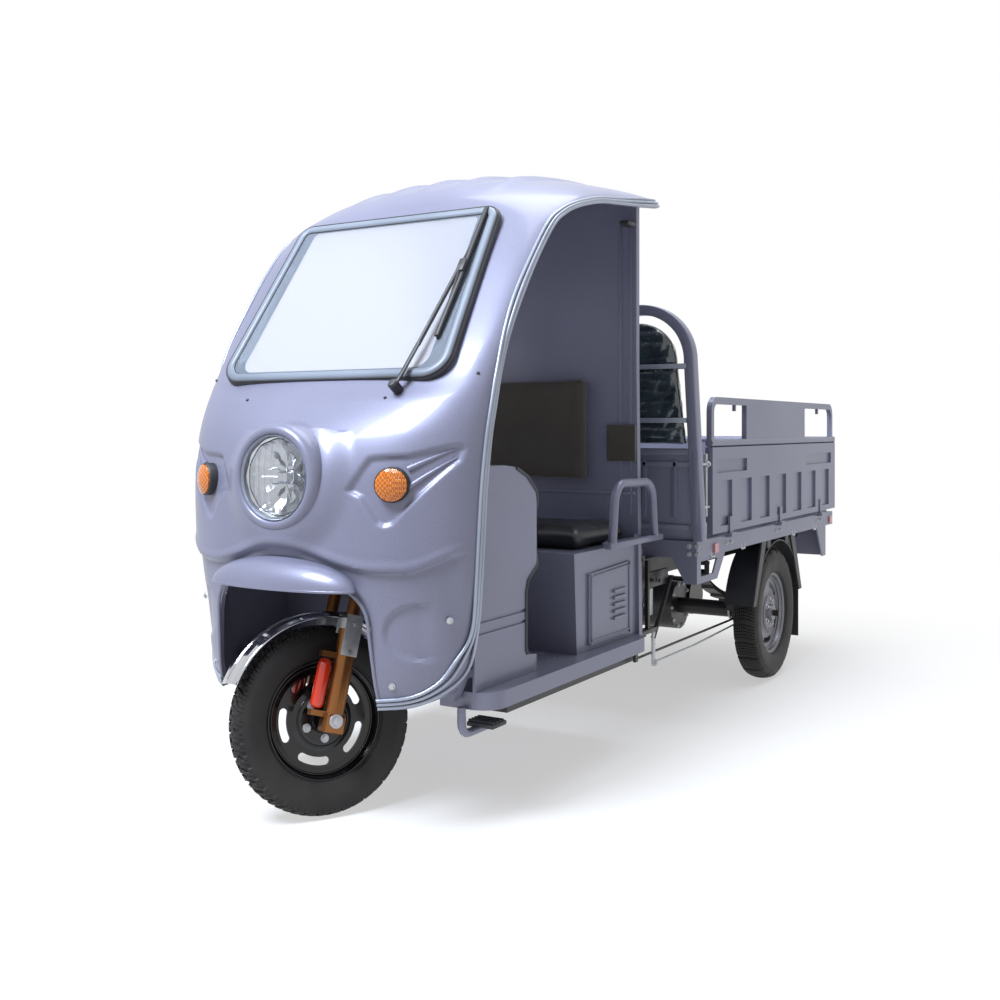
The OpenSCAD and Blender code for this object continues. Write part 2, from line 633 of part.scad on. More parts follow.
module bed_frame() {
  color(paint) place() {
    both_sides() {
      translate([bed_w / 2 - 36, headboard_y - 40, beam_z]) cube([30, bed_rear_y + 40 - headboard_y, beam_h]);
      at_side_hinges() hinge_fixed();
      // bracket under the front corner: a tapered face and a side cheek with a window
      along_y(headboard_y - 40, headboard_y - 34) polygon([[bed_w / 2 - 96, beam_z + 4], [bed_w / 2 - 6, beam_z + 4],
        [bed_w / 2 - 6, bracket_low_z], [bed_w / 2 - 46, bracket_low_z]]);
      along_x(bed_w / 2 - 14, bed_w / 2 - 8) difference() {
        polygon([[headboard_y - 40, beam_z + 4], [headboard_y + 230, beam_z + 4], [headboard_y + 150, bracket_low_z],
          [headboard_y - 40, bracket_low_z]]);
        polygon([[headboard_y, beam_z - 12], [headboard_y + 150, beam_z - 12], [headboard_y + 112, bracket_low_z + 22],
          [headboard_y, bracket_low_z + 22]]);
      }
    }
    for (y = [headboard_y - 40, bed_front_y + 300, 2000, 2400, bed_rear_y - 40])
      translate([-bed_w / 2 + 10, y, beam_z]) cube([bed_w - 20, 40, beam_h]);
    at_tail_hinges() hinge_fixed();
  }
}
module bed_floor() {
  color(paint) place() translate([-board_x + 5, headboard_y, bed_z - bed_floor_t])
    cube([2 * board_x - 10, bed_rear_y - headboard_y - 5, bed_floor_t]);
}
// the pressed hoop: a flat-section arch whose posts lean in over the boards
hoop_half = bed_w / 2 + 14;
hoop_round = 190;
hoop_deep = 40;
hoop_wide = 56;
head_panel_z = 903;
module hoop_outline(inset) {
  hull() {
    for (s = [-1, 1]) translate([s * (hoop_half - 221), hoop_z - hoop_round]) circle(r = hoop_round - inset, $fn = 72);
    translate([-hoop_half + inset, bed_z - bed_floor_t]) square([2 * (hoop_half - inset), 400]);
  }
}
module headboard() {
  color(paint) place() translate([0, headboard_y, 0]) {
    along_y(-hoop_deep, -fit) difference() {
      hoop_outline(0);
      translate([0, -10]) hoop_outline(hoop_wide);
      translate([-hoop_half + hoop_wide, 500]) square([2 * (hoop_half - hoop_wide), 200]);
    }
    along_y(-22, -8) translate([-hoop_half + 30, bed_z - bed_floor_t]) square([2 * hoop_half - 60, head_panel_z - bed_z + bed_floor_t]);
    for (z = [head_panel_z - 24, head_panel_z - 62, bed_z + 20])
      translate([-hoop_half + 50, -30, z]) cube([2 * hoop_half - 100, 10, 18]);
    both_sides() {
      for (x = [300, 408]) translate([x, -30, bed_z + 60]) cube([16, 10, 190]);
      translate([hoop_half - 50, -hoop_deep - 4, bed_z + 40]) cube([36, 5, 240]);
    }
  }
}
// the folded rain cover stands on the panel and fills the hoop
module folded_cover() {
  color(dark) place() translate([0, headboard_y, 0]) along_y(-hoop_deep - 24, -10) intersection() {
    translate([0, -14]) hoop_outline(hoop_wide + 8);
    translate([-hoop_half, head_panel_z + fit]) square([2 * hoop_half, 400]);
  }
}
// a drop board: narrow recesses between broad ribs, two shallow ones above them, and a pressed loop over the top
board_recess = 9;
rib_panels = 7;
recess_share = 0.55;
recess_foot = 22;
recess_h = 154;
loop_wide = 24;
loop_deep = 18;
hook_places = [0.16, 0.85];
plate_from = 0.25;
plate_to = 0.7;
module side_board() {
  y0 = bed_front_y + 46;
  y1 = bed_rear_y - board_gap;
  span = y1 - y0;
  pitch = (span - 60) / rib_panels;
  top = bed_z + board_h;
  translate([board_x, 0, 0]) {
    difference() {
      translate([0, y0, bed_z]) cube([board_t, span, board_h - rail_d / 2]);
      for (i = [0:rib_panels - 1]) translate([board_t, y0 + 30 + pitch * (i + 0.5), 0]) {
        half = pitch * recess_share / 2;
        translate([-board_recess, -half, bed_z + recess_foot]) cube([20, 2 * half, recess_h]);
      }
      for (y = [y0 + 40, y0 + span * plate_to + 30]) translate([board_t - board_recess, y, top - 100])
        cube([20, (y > y0 + 41 ? y1 - 40 : y0 + span * plate_from - 30) - y, 44]);
      translate([-1, y0 - 1, bed_z - 1]) cube([7, span + 2, 40]);
    }
    translate([board_t / 2, 0, top]) rod_y(y0, y1, rail_d);
    translate([-board_x, 0, 0]) at_side_hinges() hinge_turning();
    translate([(board_t - loop_deep) / 2, 0, 0]) along_x(0, loop_deep) difference() {
      translate([y0, top - 60]) soft_rect(span, loop_h + 60 + rail_d / 2, 52);
      translate([y0 - 1, top - 61]) square([span + 2, 61]);
      translate([y0 + loop_wide, top + rail_d / 2 - 2]) window_loop(span * plate_from - 2 * loop_wide);
      translate([y1 - loop_wide, top + rail_d / 2 - 2]) mirror([1, 0, 0]) window_loop(span * (1 - plate_to) - 2 * loop_wide);
    }
    for (k = hook_places) translate([board_t / 2 - 5, y0 + span * k, top + loop_h - loop_wide - 8]) cube([10, 12, 24]);
  }
}
module window_loop(w) {
  h = loop_h - loop_wide + 2;
  square([w, h - 30]);
  translate([30, 0]) square([w - 30, h]);
  translate([30, h - 30]) circle(r = 30);
}
module side_board_left() { color(paint) place() side_board(); }
module side_board_right() { color(paint) place() mirror([1, 0, 0]) side_board(); }
tail_panels = 5;
module tailgate() {
  color(paint) place() translate([0, bed_rear_y, 0]) {
    difference() {
      translate([-bed_w / 2 + 2, 0, bed_z]) cube([bed_w - 4, board_t, board_h - rail_d / 2]);
      for (i = [0:tail_panels - 1], pitch = [(bed_w - 80) / tail_panels])
        translate([-bed_w / 2 + 40 + pitch * (i + 0.5 - recess_share / 2), board_t - board_recess, bed_z + recess_foot])
          cube([pitch * recess_share, 20, recess_h]);
      translate([-bed_w / 2 + 60, board_t - board_recess, bed_z + board_h - 100]) cube([bed_w - 120, 20, 44]);
    }
    translate([0, board_t / 2, bed_z + board_h]) rod_x(-bed_w / 2 + 2, bed_w / 2 - 2, rail_d);
    translate([0, -bed_rear_y, 0]) at_tail_hinges() hinge_turning();
  }
}
module leaf(r0, t, half) {
  intersection() {
    difference() { circle(r = r0 + t, $fn = 160); circle(r = r0, $fn = 160); }
    translate([-half, -r0 - t - 10]) square([2 * half, r0]);
  }
}
spring_r = 780;
spring_leaves = 4;
leaf_t = 8;
spring_pad = 8;
spring_low_z = rear_tyre_d / 2 + axle_tube_d / 2 + spring_pad + spring_leaves * leaf_t;
module leaf_springs() {
  color("#202022") place() both_sides() translate([0, wheelbase, spring_low_z + spring_r]) {
    along_x(rail_x - 25, rail_x + 25) for (i = [0:spring_leaves - 1]) leaf(spring_r + i * leaf_t, leaf_t + 0.01, 410 - 90 * i);
    for (s = [-1, 1]) translate([0, s * 410, -spring_r + 118]) {
      rod_x(rail_x - 34, rail_x + 34, 30);
      for (x = [-34, 27]) translate([rail_x + x, -16, -14]) cube([7, 32, beam_z - rail_h - spring_low_z - 118 + 14]);
      translate([rail_x - 34, -20, beam_z - rail_h - spring_low_z - 130]) cube([68, 40, 12]);
    }
  }
}
module rear_axle() {
  color("#242428") place() translate([0, wheelbase, rear_tyre_d / 2]) {
    rod_x(-rear_track / 2 + 30, rear_track / 2 - 30, axle_tube_d);
    rod_x(-rear_track / 2 - 60, rear_track / 2 + 60, spindle_d);
    rod_x(-90, 90, 190);
    translate([0, 150, 20]) rod_x(-60, 100, 150);
    translate([-10, 0, -50]) cube([40, 150, 110]);
    both_sides() translate([rail_x - 28, -44, 0]) cube([56, 88, axle_tube_d / 2 + spring_pad - fit]);
  }
}
module rear_wheel_at(s) { place() translate([s * rear_track / 2, wheelbase, rear_tyre_d / 2]) mirror([s < 0 ? 1 : 0, 0, 0]) children(); }
module rear_tyre_left() { color("#1c1c1e") rear_wheel_at(1) tyre(rear_tyre_d, rear_tyre_w, rear_rim_d); }
module rear_tyre_right() { color("#1c1c1e") rear_wheel_at(-1) tyre(rear_tyre_d, rear_tyre_w, rear_rim_d); }
module rear_rim_left() { color("#9a9aa4") rear_wheel_at(1) rim(rear_rim_d, rear_tyre_w, 8, 5); }
module rear_rim_right() { color("#9a9aa4") rear_wheel_at(-1) rim(rear_rim_d, rear_tyre_w, 8, 5); }
module rear_fenders() {
  color(dark) place() both_sides() translate([0, wheelbase, rear_tyre_d / 2]) {
    along_x(rear_track / 2 - 62, rear_track / 2 + 56) intersection() {
      difference() { circle(r = rear_tyre_d / 2 + 32, $fn = 96); circle(r = rear_tyre_d / 2 + 28, $fn = 96); }
      translate([-320, 60]) square([640, 300]);
    }
    translate([rear_track / 2 - 50, 276, -130]) cube([100, 5, 200]);
    for (s = [-1, 1]) translate([rear_track / 2 + 51, 0, 0]) along_x(0, 7)
      polygon([[s * 150, beam_z - rear_tyre_d / 2 - fit], [s * 200, beam_z - rear_tyre_d / 2 - fit], [s * 300, 62], [s * 266, 62]]);
    for (y = [-110, 110]) translate([bed_w / 2 - 34, y - 20, 262]) cube([24, 40, beam_z - rear_tyre_d / 2 - 262]);
  }
}
lamp_low_z = 405;
module tail_lamps() {
  color(paint) place() both_sides() {
    along_x(bed_w / 2 - 40, bed_w / 2 - 34) polygon([[bed_rear_y - 150, beam_z], [bed_rear_y - 8, beam_z],
      [bed_rear_y - 8, lamp_low_z], [bed_rear_y - 60, lamp_low_z]]);
    translate([300, bed_rear_y - 14, lamp_low_z]) cube([bed_w / 2 - 334, 6, beam_z - lamp_low_z]);
    translate([320, bed_rear_y - 8.1, lamp_low_z + 40]) cube([bed_w / 2 - 376, 12, 70]);
  }
}
module reflectors() {
  color("#d87a86") place() both_sides() translate([bed_w / 2 - 6, 0, 0])
    for (y = [bed_front_y + 70, bed_rear_y - 60]) translate([0, y, 552]) cube([6, 34, 30]);
}
module brake_linkage() {
  // bars behind the seat, a drop arm below the floor and the rod to the rear brakes
  y = back_wall_y + back_wall_t + fit;
  color(dark) place() {
    translate([rail_x, 0, 0]) {
      for (x = [42, 68]) translate([x, y, 300]) cube([8, 14, 296]);
      translate([36, y, 318]) cube([44, 34, 16]);
      translate([36, y, 560]) cube([44, 24, 12]);
      translate([41, y + 20, 236]) cube([9, 18, 90]);
      translate([45, 0, 245]) rod_y(y + 30, wheelbase - axle_tube_d / 2, 8);
    }
  }
}
module pedal_step() {
  color(dark) place() {
    translate([floor_w / 2 - 78, 0, 0]) upright_yz() bent_tube([[112, rail_top_z - fit], [112, 232], [220, 232]], 30, 20);
    translate([floor_w / 2 - 100, 150, 240]) cube([76, 66, 12]);
    for (y = [158, 178, 198]) translate([floor_w / 2 - 98, y, 251]) cube([72, 6, 5]);
  }
}

main_frame();
cab_shell();
edge_trim();
front_visor();
windscreen_glass();
windscreen_seal();
wiper();
headlight_ring();
headlight_lens();
indicator_lamps();
console();
floor_pan();
seat_base();
access_panel();
battery_block();
seat_cushion();
backrest_pad();
rear_wall();
grab_rails();
handlebar();
fork_yoke();
fork_legs();
red_dampers();
front_fender();
front_tyre();
front_rim();
bed_frame();
bed_floor();
headboard();
folded_cover();
side_board_left();
side_board_right();
tailgate();
leaf_springs();
rear_axle();
rear_tyre_left();
rear_tyre_right();
rear_rim_left();
rear_rim_right();
rear_fenders();
tail_lamps();
reflectors();
brake_linkage();
pedal_step();
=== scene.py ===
# %% [markdown]
# Looks of the electric cargo tricycle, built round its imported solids.
# Lengths are metres, +Z is up, the front faces -Y and +X is the vehicle's left.

# %% The frame
import json
import math

import bmesh
import bpy
from mathutils import Matrix, Vector

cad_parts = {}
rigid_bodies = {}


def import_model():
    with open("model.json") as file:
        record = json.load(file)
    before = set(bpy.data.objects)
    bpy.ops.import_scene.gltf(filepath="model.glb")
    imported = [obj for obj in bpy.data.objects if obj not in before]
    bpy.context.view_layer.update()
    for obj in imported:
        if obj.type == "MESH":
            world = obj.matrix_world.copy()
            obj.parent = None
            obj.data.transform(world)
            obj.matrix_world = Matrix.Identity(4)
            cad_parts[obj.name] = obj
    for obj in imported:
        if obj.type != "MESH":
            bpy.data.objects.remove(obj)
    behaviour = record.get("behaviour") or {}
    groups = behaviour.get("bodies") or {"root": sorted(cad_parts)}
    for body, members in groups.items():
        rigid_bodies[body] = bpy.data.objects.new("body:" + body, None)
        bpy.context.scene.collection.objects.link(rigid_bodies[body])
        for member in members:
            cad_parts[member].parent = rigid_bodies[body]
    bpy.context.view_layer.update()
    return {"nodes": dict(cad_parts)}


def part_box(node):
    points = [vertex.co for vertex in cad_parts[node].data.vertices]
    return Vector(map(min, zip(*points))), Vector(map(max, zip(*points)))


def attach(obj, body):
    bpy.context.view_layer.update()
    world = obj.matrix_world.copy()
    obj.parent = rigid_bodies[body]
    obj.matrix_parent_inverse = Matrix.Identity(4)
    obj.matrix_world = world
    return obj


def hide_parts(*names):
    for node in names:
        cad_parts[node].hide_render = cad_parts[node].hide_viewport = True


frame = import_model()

MM = 0.001
SHIFT = -1346 * MM

# %% [markdown]
# Every material is a node graph in real metres. A graph could be written out node by node, but one small helper that
# adds a node with its settings and links keeps each finish readable. Every piece keeps its mesh in the shared frame,
# so Object coordinates have the same scale everywhere and no pattern slides or turns.

# %% Colours and nodes
def srgb(code):
    # "#rrggbb" to the linear colour that a shader expects
    def linear(v):
        return v / 12.92 if v <= 0.04045 else ((v + 0.055) / 1.055) ** 2.4
    return tuple(linear(int(code[i:i + 2], 16) / 255) for i in (1, 3, 5)) + (1.0,)


def add(tree, kind, inputs=None, **settings):
    # a new shader node; an input is linked when it is given a socket, and set when it is given a value
    node = tree.nodes.new("ShaderNode" + kind)
    for key, value in settings.items():
        setattr(node, key, value)
    for key, value in (inputs or {}).items():
        if isinstance(value, bpy.types.NodeSocket):
            tree.links.new(value, node.inputs[key])
        else:
            node.inputs[key].default_value = value
    return node


print("colour and node helpers ready")

# %% [markdown]
# Every finish starts from the object's own coordinates, so that grain keeps its size in metres on every piece. Small
# helpers stretch a noise, mix two tones and lay a film of dust, because real surfaces are never one even value.

# %% Parts of a finish
def start(name):
    # an empty material with its tree and its object coordinates
    material = bpy.data.materials.new(name)
    material.use_nodes = True
    tree = material.node_tree
    tree.nodes.clear()
    coords = add(tree, "TexCoord").outputs["Object"]
    return material, tree, coords


def finished(material, tree, inputs):
    # close the tree with the surface shader
    shader = add(tree, "BsdfPrincipled", inputs)
    add(tree, "OutputMaterial", {"Surface": shader.outputs[0]})
    return material


def between(tree, factor, low, high):
    # stretch 0 to 1 over low to high
    return add(tree, "MapRange", {"Value": factor, "To Min": low, "To Max": high}).outputs["Result"]


def mixed(tree, factor, a, b):
    node = add(tree, "Mix", {"Factor": factor}, data_type="RGBA")
    for socket, value in ((node.inputs[6], a), (node.inputs[7], b)):
        if isinstance(value, bpy.types.NodeSocket):
            tree.links.new(value, socket)
        else:
            socket.default_value = value
    return node.outputs[2]


def speckle(tree, coords, scale, detail=2.0):
    # soft noise; scale is in lumps per metre
    return add(tree, "TexNoise", {"Vector": coords, "Scale": scale, "Detail": detail}).outputs["Fac"]


def dusted(tree, coords, tone, heights, amount, scale, dust):
    # a patchy film of road dust that fades out between two heights
    height = add(tree, "SeparateXYZ", {"Vector": coords}).outputs["Z"]
    near = add(tree, "MapRange", {"Value": height, "From Min": heights[0], "From Max": heights[1],
                                  "To Min": amount, "To Max": 0.0})
    film = add(tree, "Math", {0: near.outputs["Result"], 1: speckle(tree, coords, scale, 6.0)}, operation="MULTIPLY")
    return mixed(tree, film.outputs[0], tone, srgb(dust))


print("parts of a finish ready")

# %% [markdown]
# Most finishes are one skin: a tone that drifts slowly over the piece, gloss that drifts faster, and a fine relief
# such as moulding grain or rubber texture. `mottle` and `grain` are lumps per metre, so 900 is a grain of about 1 mm,
# as coarse as it has to be to show at this distance. Low pieces also carry a film of dust.

# %% Plain finishes
def surface(name, low, high, rough=(0.3, 0.45), metallic=0.0, mottle=4.0, grain=300.0, bump=0.05, depth=0.0002,
            dust=0.0, **fixed):
    material, tree, coords = start(name)
    tone = mixed(tree, between(tree, speckle(tree, coords, mottle), -0.4, 1.4), srgb(low), srgb(high))
    fine = speckle(tree, coords, grain)
    if dust:
        tone = dusted(tree, coords, tone, (0.0, 0.6), dust, 9.0, "#8f8a80")
    relief = add(tree, "Bump", {"Height": fine, "Strength": bump, "Distance": depth})
    return finished(material, tree, {
        "Base Color": tone, "Roughness": between(tree, speckle(tree, coords, mottle * 6), *rough),
        "Metallic": metallic, "Normal": relief.outputs["Normal"], **fixed})


def clear(name, tint, rough=0.0, ior=1.5, through=1.0):
    # glass, with the faint waviness of a bent pane
    material, tree, coords = start(name)
    relief = add(tree, "Bump", {"Height": speckle(tree, coords, 14.0), "Strength": 0.02, "Distance": 0.001})
    return finished(material, tree, {
        "Base Color": srgb(tint), "Roughness": rough, "IOR": ior, "Transmission Weight": through,
        "Normal": relief.outputs["Normal"]})


print("plain finishes and glass")

# %% [markdown]
# The body's colour is a sprayed metallic paint, purple-grey in the shade and blue-white in its highlights. A plain
# grey would look like primer, so flakes under a millimetre glitter in the base coat, the specular tint is bluish,
# a thin clear coat lies on top and the spray leaves a faint orange peel of about 4 mm.

# %% Metallic paint
def paint(name, low, high, edge):
    material, tree, coords = start(name)
    flakes = add(tree, "TexVoronoi", {"Vector": coords, "Scale": 1400.0}).outputs["Color"]
    sparkle = add(tree, "SeparateColor", {"Color": flakes}).outputs[0]
    tone = mixed(tree, between(tree, speckle(tree, coords, 2.5), -0.3, 1.3), srgb(low), srgb(high))
    tone = mixed(tree, between(tree, sparkle, 0.0, 0.14), tone, srgb("#c9cad8"))
    tone = dusted(tree, coords, tone, (0.1, 0.7), 0.3, 12.0, "#77726c")
    peel = add(tree, "Bump", {"Height": speckle(tree, coords, 260.0), "Strength": 0.035, "Distance": 0.0004})
    return finished(material, tree, {
        "Base Color": tone, "Metallic": 0.24, "Roughness": between(tree, sparkle, 0.34, 0.46),
        "Specular Tint": srgb(edge), "Specular IOR Level": 0.3, "Coat Weight": 0.25, "Coat Roughness": 0.1,
        "Normal": peel.outputs["Normal"]})


print("metallic paint")

# %% [markdown]
# Lenses are moulded with prisms: a fine grid on the amber and red ones, upright flutes on the headlight. Each prism
# could be modelled, but at 4 to 6 mm a relief in the shader gives the same sparkle with far fewer faces. On the grid
# lenses the same pattern also turns the colour darker and lighter cell by cell, which is painted sparkle.

# %% Lenses
def lens(name, low, high, pitch, through=0.35):
    material, tree, coords = start(name)
    cells = add(tree, "TexChecker", {"Vector": coords, "Scale": 1.0 / pitch}).outputs["Fac"]
    waves = add(tree, "TexWave", {"Vector": coords, "Scale": 0.5 / pitch, "Distortion": 0.0}).outputs["Fac"]
    both = add(tree, "Math", {0: cells, 1: waves}, operation="ADD").outputs[0]
    # the tone runs from the dark colour to the light one with the prism pattern: painted sparkle
    tone = mixed(tree, add(tree, "Math", {0: both, 1: 0.5}, operation="MULTIPLY").outputs[0], srgb(low), srgb(high))
    relief = add(tree, "Bump", {"Height": both, "Strength": 0.35, "Distance": 0.0015})
    return finished(material, tree, {
        "Base Color": tone, "Roughness": 0.12, "Transmission Weight": through, "Coat Weight": 0.6,
        "Normal": relief.outputs["Normal"]})


def fluted(name):
    material, tree, coords = start(name)
    flutes = add(tree, "TexWave", {"Vector": coords, "Scale": 16.0, "Distortion": 0.4, "Detail": 0.0},
                 bands_direction="X")
    relief = add(tree, "Bump", {"Height": flutes.outputs["Fac"], "Strength": 0.35, "Distance": 0.002})
    return finished(material, tree, {
        "Base Color": srgb("#f8fafc"), "Roughness": 0.02, "IOR": 1.45, "Transmission Weight": 1.0,
        "Normal": relief.outputs["Normal"]})


print("lens finishes")

# %% [markdown]
# Each finish starts from the real material and how its surface was made. The comments say what that gives the eye.

# %% The finishes
M = {
    # sprayed over a glass-fibre moulding and over pressed steel: the steel is a touch greyer
    "shell_paint": paint("metallic_paint_on_moulding", "#6a6b80", "#7a7c92", "#e2eaf8"),
    "painted_steel": paint("metallic_paint_on_steel", "#6a6b80", "#797b90", "#dde4f2"),
    # extruded beading with a satin foil: soft bright lines along the shell's edge
    "silver_trim": surface("satin_silver_beading", "#8e95a4", "#a4abb9", (0.24, 0.36), 0.45, bump=0.03),
    # baked border on the pane, and the blue-grey rubber that holds it
    "screen_border": surface("grey_screen_border", "#8f99a6", "#a0aab6", (0.2, 0.3), bump=0.02),
    "seal_rubber": surface("seal_rubber", "#6d7683", "#808a97", (0.3, 0.44), bump=0.08, grain=700.0),
    # a pale tint and a part-opaque layer whiten the pane, which is a painted reflection of the white studio; its
    # roughness blurs shapes behind it
    "clear_glass": clear("screen_glass_painted_reflection", "#cccfd8", 0.3, through=0.6),
    "black_rubber": surface("moulded_rubber", "#2b2c31", "#393b42", (0.5, 0.66), bump=0.1, grain=900.0),
    # dipped chassis enamel: dull black that road dust greys
    "black_steel": surface("black_chassis_enamel", "#0f0f12", "#19191d", (0.28, 0.46), bump=0.06, dust=0.2,
                           **{"Coat Weight": 0.15, "Coat Roughness": 0.3, "Specular IOR Level": 0.35}),
    "tyre_rubber": surface("tyre_rubber", "#0f0e11", "#1a181c", (0.46, 0.66), bump=0.25, grain=700.0, dust=0.16,
                           **{"Specular IOR Level": 0.3}),
    # stoved enamel on the front rim: black with crisp highlights
    "rim_black": surface("black_wheel_enamel", "#09080a", "#121013", (0.14, 0.26), bump=0.03,
                         **{"Coat Weight": 0.4, "Coat Roughness": 0.08, "Specular IOR Level": 0.35}),
}
print("materials", len(M))

# %% [markdown]
# The metals differ in how sharply they mirror the room, and the soft things in the size of their grain. The rain
# cover's film is the shiniest of all, so its creases show as hard bright lines on near black.

# %% Metals, soft goods, plastics and lenses
M.update({
    # bright plate mirrors the studio; zinc is duller and patchy
    "chrome_plate": surface("chrome_plate", "#b3b6bd", "#c8cace", (0.05, 0.12), 1.0, bump=0.02),
    "zinc_plate": surface("zinc_plate", "#a9abaf", "#c2c4c8", (0.3, 0.44), 0.55, mottle=60.0),
    # dyed anodising: a brown gold with a metal's sheen
    "gold_anodise": surface("gold_anodised_aluminium", "#80502a", "#9c6a3a", (0.26, 0.38), 0.7, bump=0.05),
    "red_spring": surface("red_enamel", "#c8260c", "#dd3a14", (0.16, 0.26), bump=0.03, **{"Coat Weight": 0.6}),
    # seat vinyl has a grain of about 2 mm, the back pad's cloth a weave of about 1 mm
    "black_vinyl": surface("grained_vinyl", "#131417", "#1e1f23", (0.34, 0.48), bump=0.3, grain=520.0, depth=0.0006),
    "grey_cloth": surface("woven_seat_cloth", "#37332f", "#45413c", (0.8, 0.95), bump=0.5, grain=900.0, depth=0.0006,
                          **{"Sheen Weight": 0.25}),
    # coated film of the folded cover: nearly black, wrinkled, with hard bright glints
    "quilted_film": surface("quilted_glossy_film", "#141d22", "#33434a", (0.1, 0.22), mottle=22.0, grain=38.0, bump=0.7,
                            depth=0.006, **{"Coat Weight": 1.0, "Coat Roughness": 0.06}),
    "grey_wheel": surface("wheel_enamel", "#6c6d76", "#7f808a", (0.3, 0.42), 0.5, dust=0.45),
    "black_plastic": surface("black_moulded_plastic", "#202124", "#2e2f33", (0.4, 0.55), bump=0.12, grain=800.0),
    "battery_case": surface("battery_case", "#2c3034", "#3a3f44", (0.45, 0.6)),
    # each lens's dark and light colours are the two ends of its painted sparkle
    "amber_lens": lens("amber_lens", "#8a3600", "#ee8a14", 0.006, 0.1),
    "pink_reflector": lens("reflector_lens", "#c86a74", "#e8929a", 0.004, 0.15),
    "red_lens": lens("red_lens", "#b01414", "#d02a20", 0.005, 0.2),
    "lamp_lens": clear("lamp_glass", "#f6f8fa", 0.02),
    "fluted_glass": fluted("fluted_lamp_glass"),
})
print("materials", len(M))

# %% [markdown]
# The solids whose shape is right stay, and only change their finish. Those that a finer piece replaces later get one
# too, so nothing plain is left if a piece is taken out.

# %% Dress the solids
DRESS = {
    "shell_paint": ["cab_shell", "front_visor", "console", "rear_wall"],
    "painted_steel": ["floor_pan", "seat_base", "access_panel", "bed_frame", "bed_floor", "headboard",
                      "side_board_left", "side_board_right", "tailgate", "grab_rails", "tail_lamps", "pedal_step"],
    "silver_trim": ["edge_trim", "headlight_ring"],
    "clear_glass": ["windscreen_glass"],
    "lamp_lens": ["headlight_lens"],
    "black_rubber": ["windscreen_seal"],
    "black_steel": ["main_frame", "fork_yoke", "leaf_springs", "rear_axle", "brake_linkage", "handlebar", "wiper"],
    "tyre_rubber": ["front_tyre", "rear_tyre_left", "rear_tyre_right"],
    "rim_black": ["front_rim"],
    "chrome_plate": ["front_fender"],
    "gold_anodise": ["fork_legs"],
    "red_spring": ["red_dampers"],
    "amber_lens": ["indicator_lamps"],
    "pink_reflector": ["reflectors"],
    "black_vinyl": ["seat_cushion", "folded_cover"],
    "grey_cloth": ["backrest_pad"],
    "grey_wheel": ["rear_rim_left", "rear_rim_right"],
    "black_plastic": ["rear_fenders"],
    "battery_case": ["battery_block"],
}
for key, names in DRESS.items():
    for name in names:
        node = frame["nodes"][name]
        node.data.materials.clear()
        node.data.materials.append(M[key])
print("dressed", sum(len(v) for v in DRESS.values()), "of", len(frame["nodes"]), "nodes")

# %% [markdown]
# Each new piece is one mesh in the shared frame that rides a body and takes a slot's finish. Its object stays at the
# origin, and its place is in its mesh, so a pattern on Object coordinates keeps to the piece when a body moves.

# %% A piece
def as_mesh(bm, name):
    # the bmesh as a mesh datablock
    mesh = bpy.data.meshes.new(name)
    bm.to_mesh(mesh)
    bm.free()
    return mesh


def linked(name, data):
    # a new object in the scene, at the origin
    obj = bpy.data.objects.new(name, data)
    bpy.context.scene.collection.objects.link(obj)
    return obj


def apply_modifiers(obj):
    # what the modifiers make becomes the object's own mesh
    done = bpy.data.meshes.new_from_object(obj.evaluated_get(bpy.context.evaluated_depsgraph_get()))
    obj.modifiers.clear()
    obj.data = done


def piece(name, bm, material, body, smooth=35, replaces=()):
    # edges that turn by more than `smooth` degrees stay sharp
    bmesh.ops.recalc_face_normals(bm, faces=bm.faces)
    mesh = as_mesh(bm, name)
    mesh.materials.append(M[material])
    mesh.shade_smooth()
    mesh.set_sharp_from_angle(angle=math.radians(smooth))
    obj = linked(name, mesh)
    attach(obj, body)
    if replaces:
        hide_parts(*replaces)
    return obj


print("piece ready")

# %% [markdown]
# Tyres, wheel beads, lamp parts, clamps and dampers are turned forms. bmesh's spin sweeps a half section round the X
# axis, and a matrix then puts the result on its wheel or lamp, so one function serves every round piece.

# %% A turned shape
def turned(bm, section, steps, matrix=Matrix.Identity(4), closed=False):
    # a section of (radius, distance along the axis) turned round the X axis, then placed
    verts = [bm.verts.new((x, 0, r)) for r, x in section]
    pairs = list(zip(verts, verts[1:])) + ([(verts[-1], verts[0])] if closed else [])
    edges = [bm.edges.new(p) for p in pairs]
    before = set(bm.verts) - set(verts)
    bmesh.ops.spin(bm, geom=verts + edges, cent=(0, 0, 0), axis=(1, 0, 0), angle=math.tau, steps=steps, use_merge=True)
    made = [v for v in bm.verts if v not in before]
    bmesh.ops.transform(bm, matrix=matrix, verts=made)
    return made


print("turned ready")

# %% [markdown]
# Three axles carry the wheels. The fork leans back 18 degrees and stands turned 30 degrees to the right, so the front
# wheel's pieces are made upright and straight, and one matrix leans, turns and places them.

# %% Axles
STEER = (Matrix.Translation((0, 32.336 * MM + SHIFT, 223.607 * MM))
         @ Matrix.Rotation(math.radians(-18), 4, "X") @ Matrix.Rotation(math.radians(-30), 4, "Z"))
FRONT_AXLE = STEER @ Matrix.Translation((0, -34 * MM, 0))
REAR_AXLE = {side: Matrix.Translation((s * 440 * MM, 2115 * MM + SHIFT, 252.5 * MM)) @ Matrix.Diagonal((s, 1, 1, 1))
             for side, s in (("left", 1), ("right", -1))}
print("front axle at", [round(v, 3) for v in FRONT_AXLE.translation])

# %% [markdown]
# A tyre is moulded in one piece: bead, sidewall with its scuff rib, shoulder and tread blocks. Separate blocks could be
# set round a plain ring, but raising the crown's own faces keeps it one closed skin. The carcass is turned, twisted a
# little so that the grooves slant, and the blocks end at the solid tyre's own diameter.

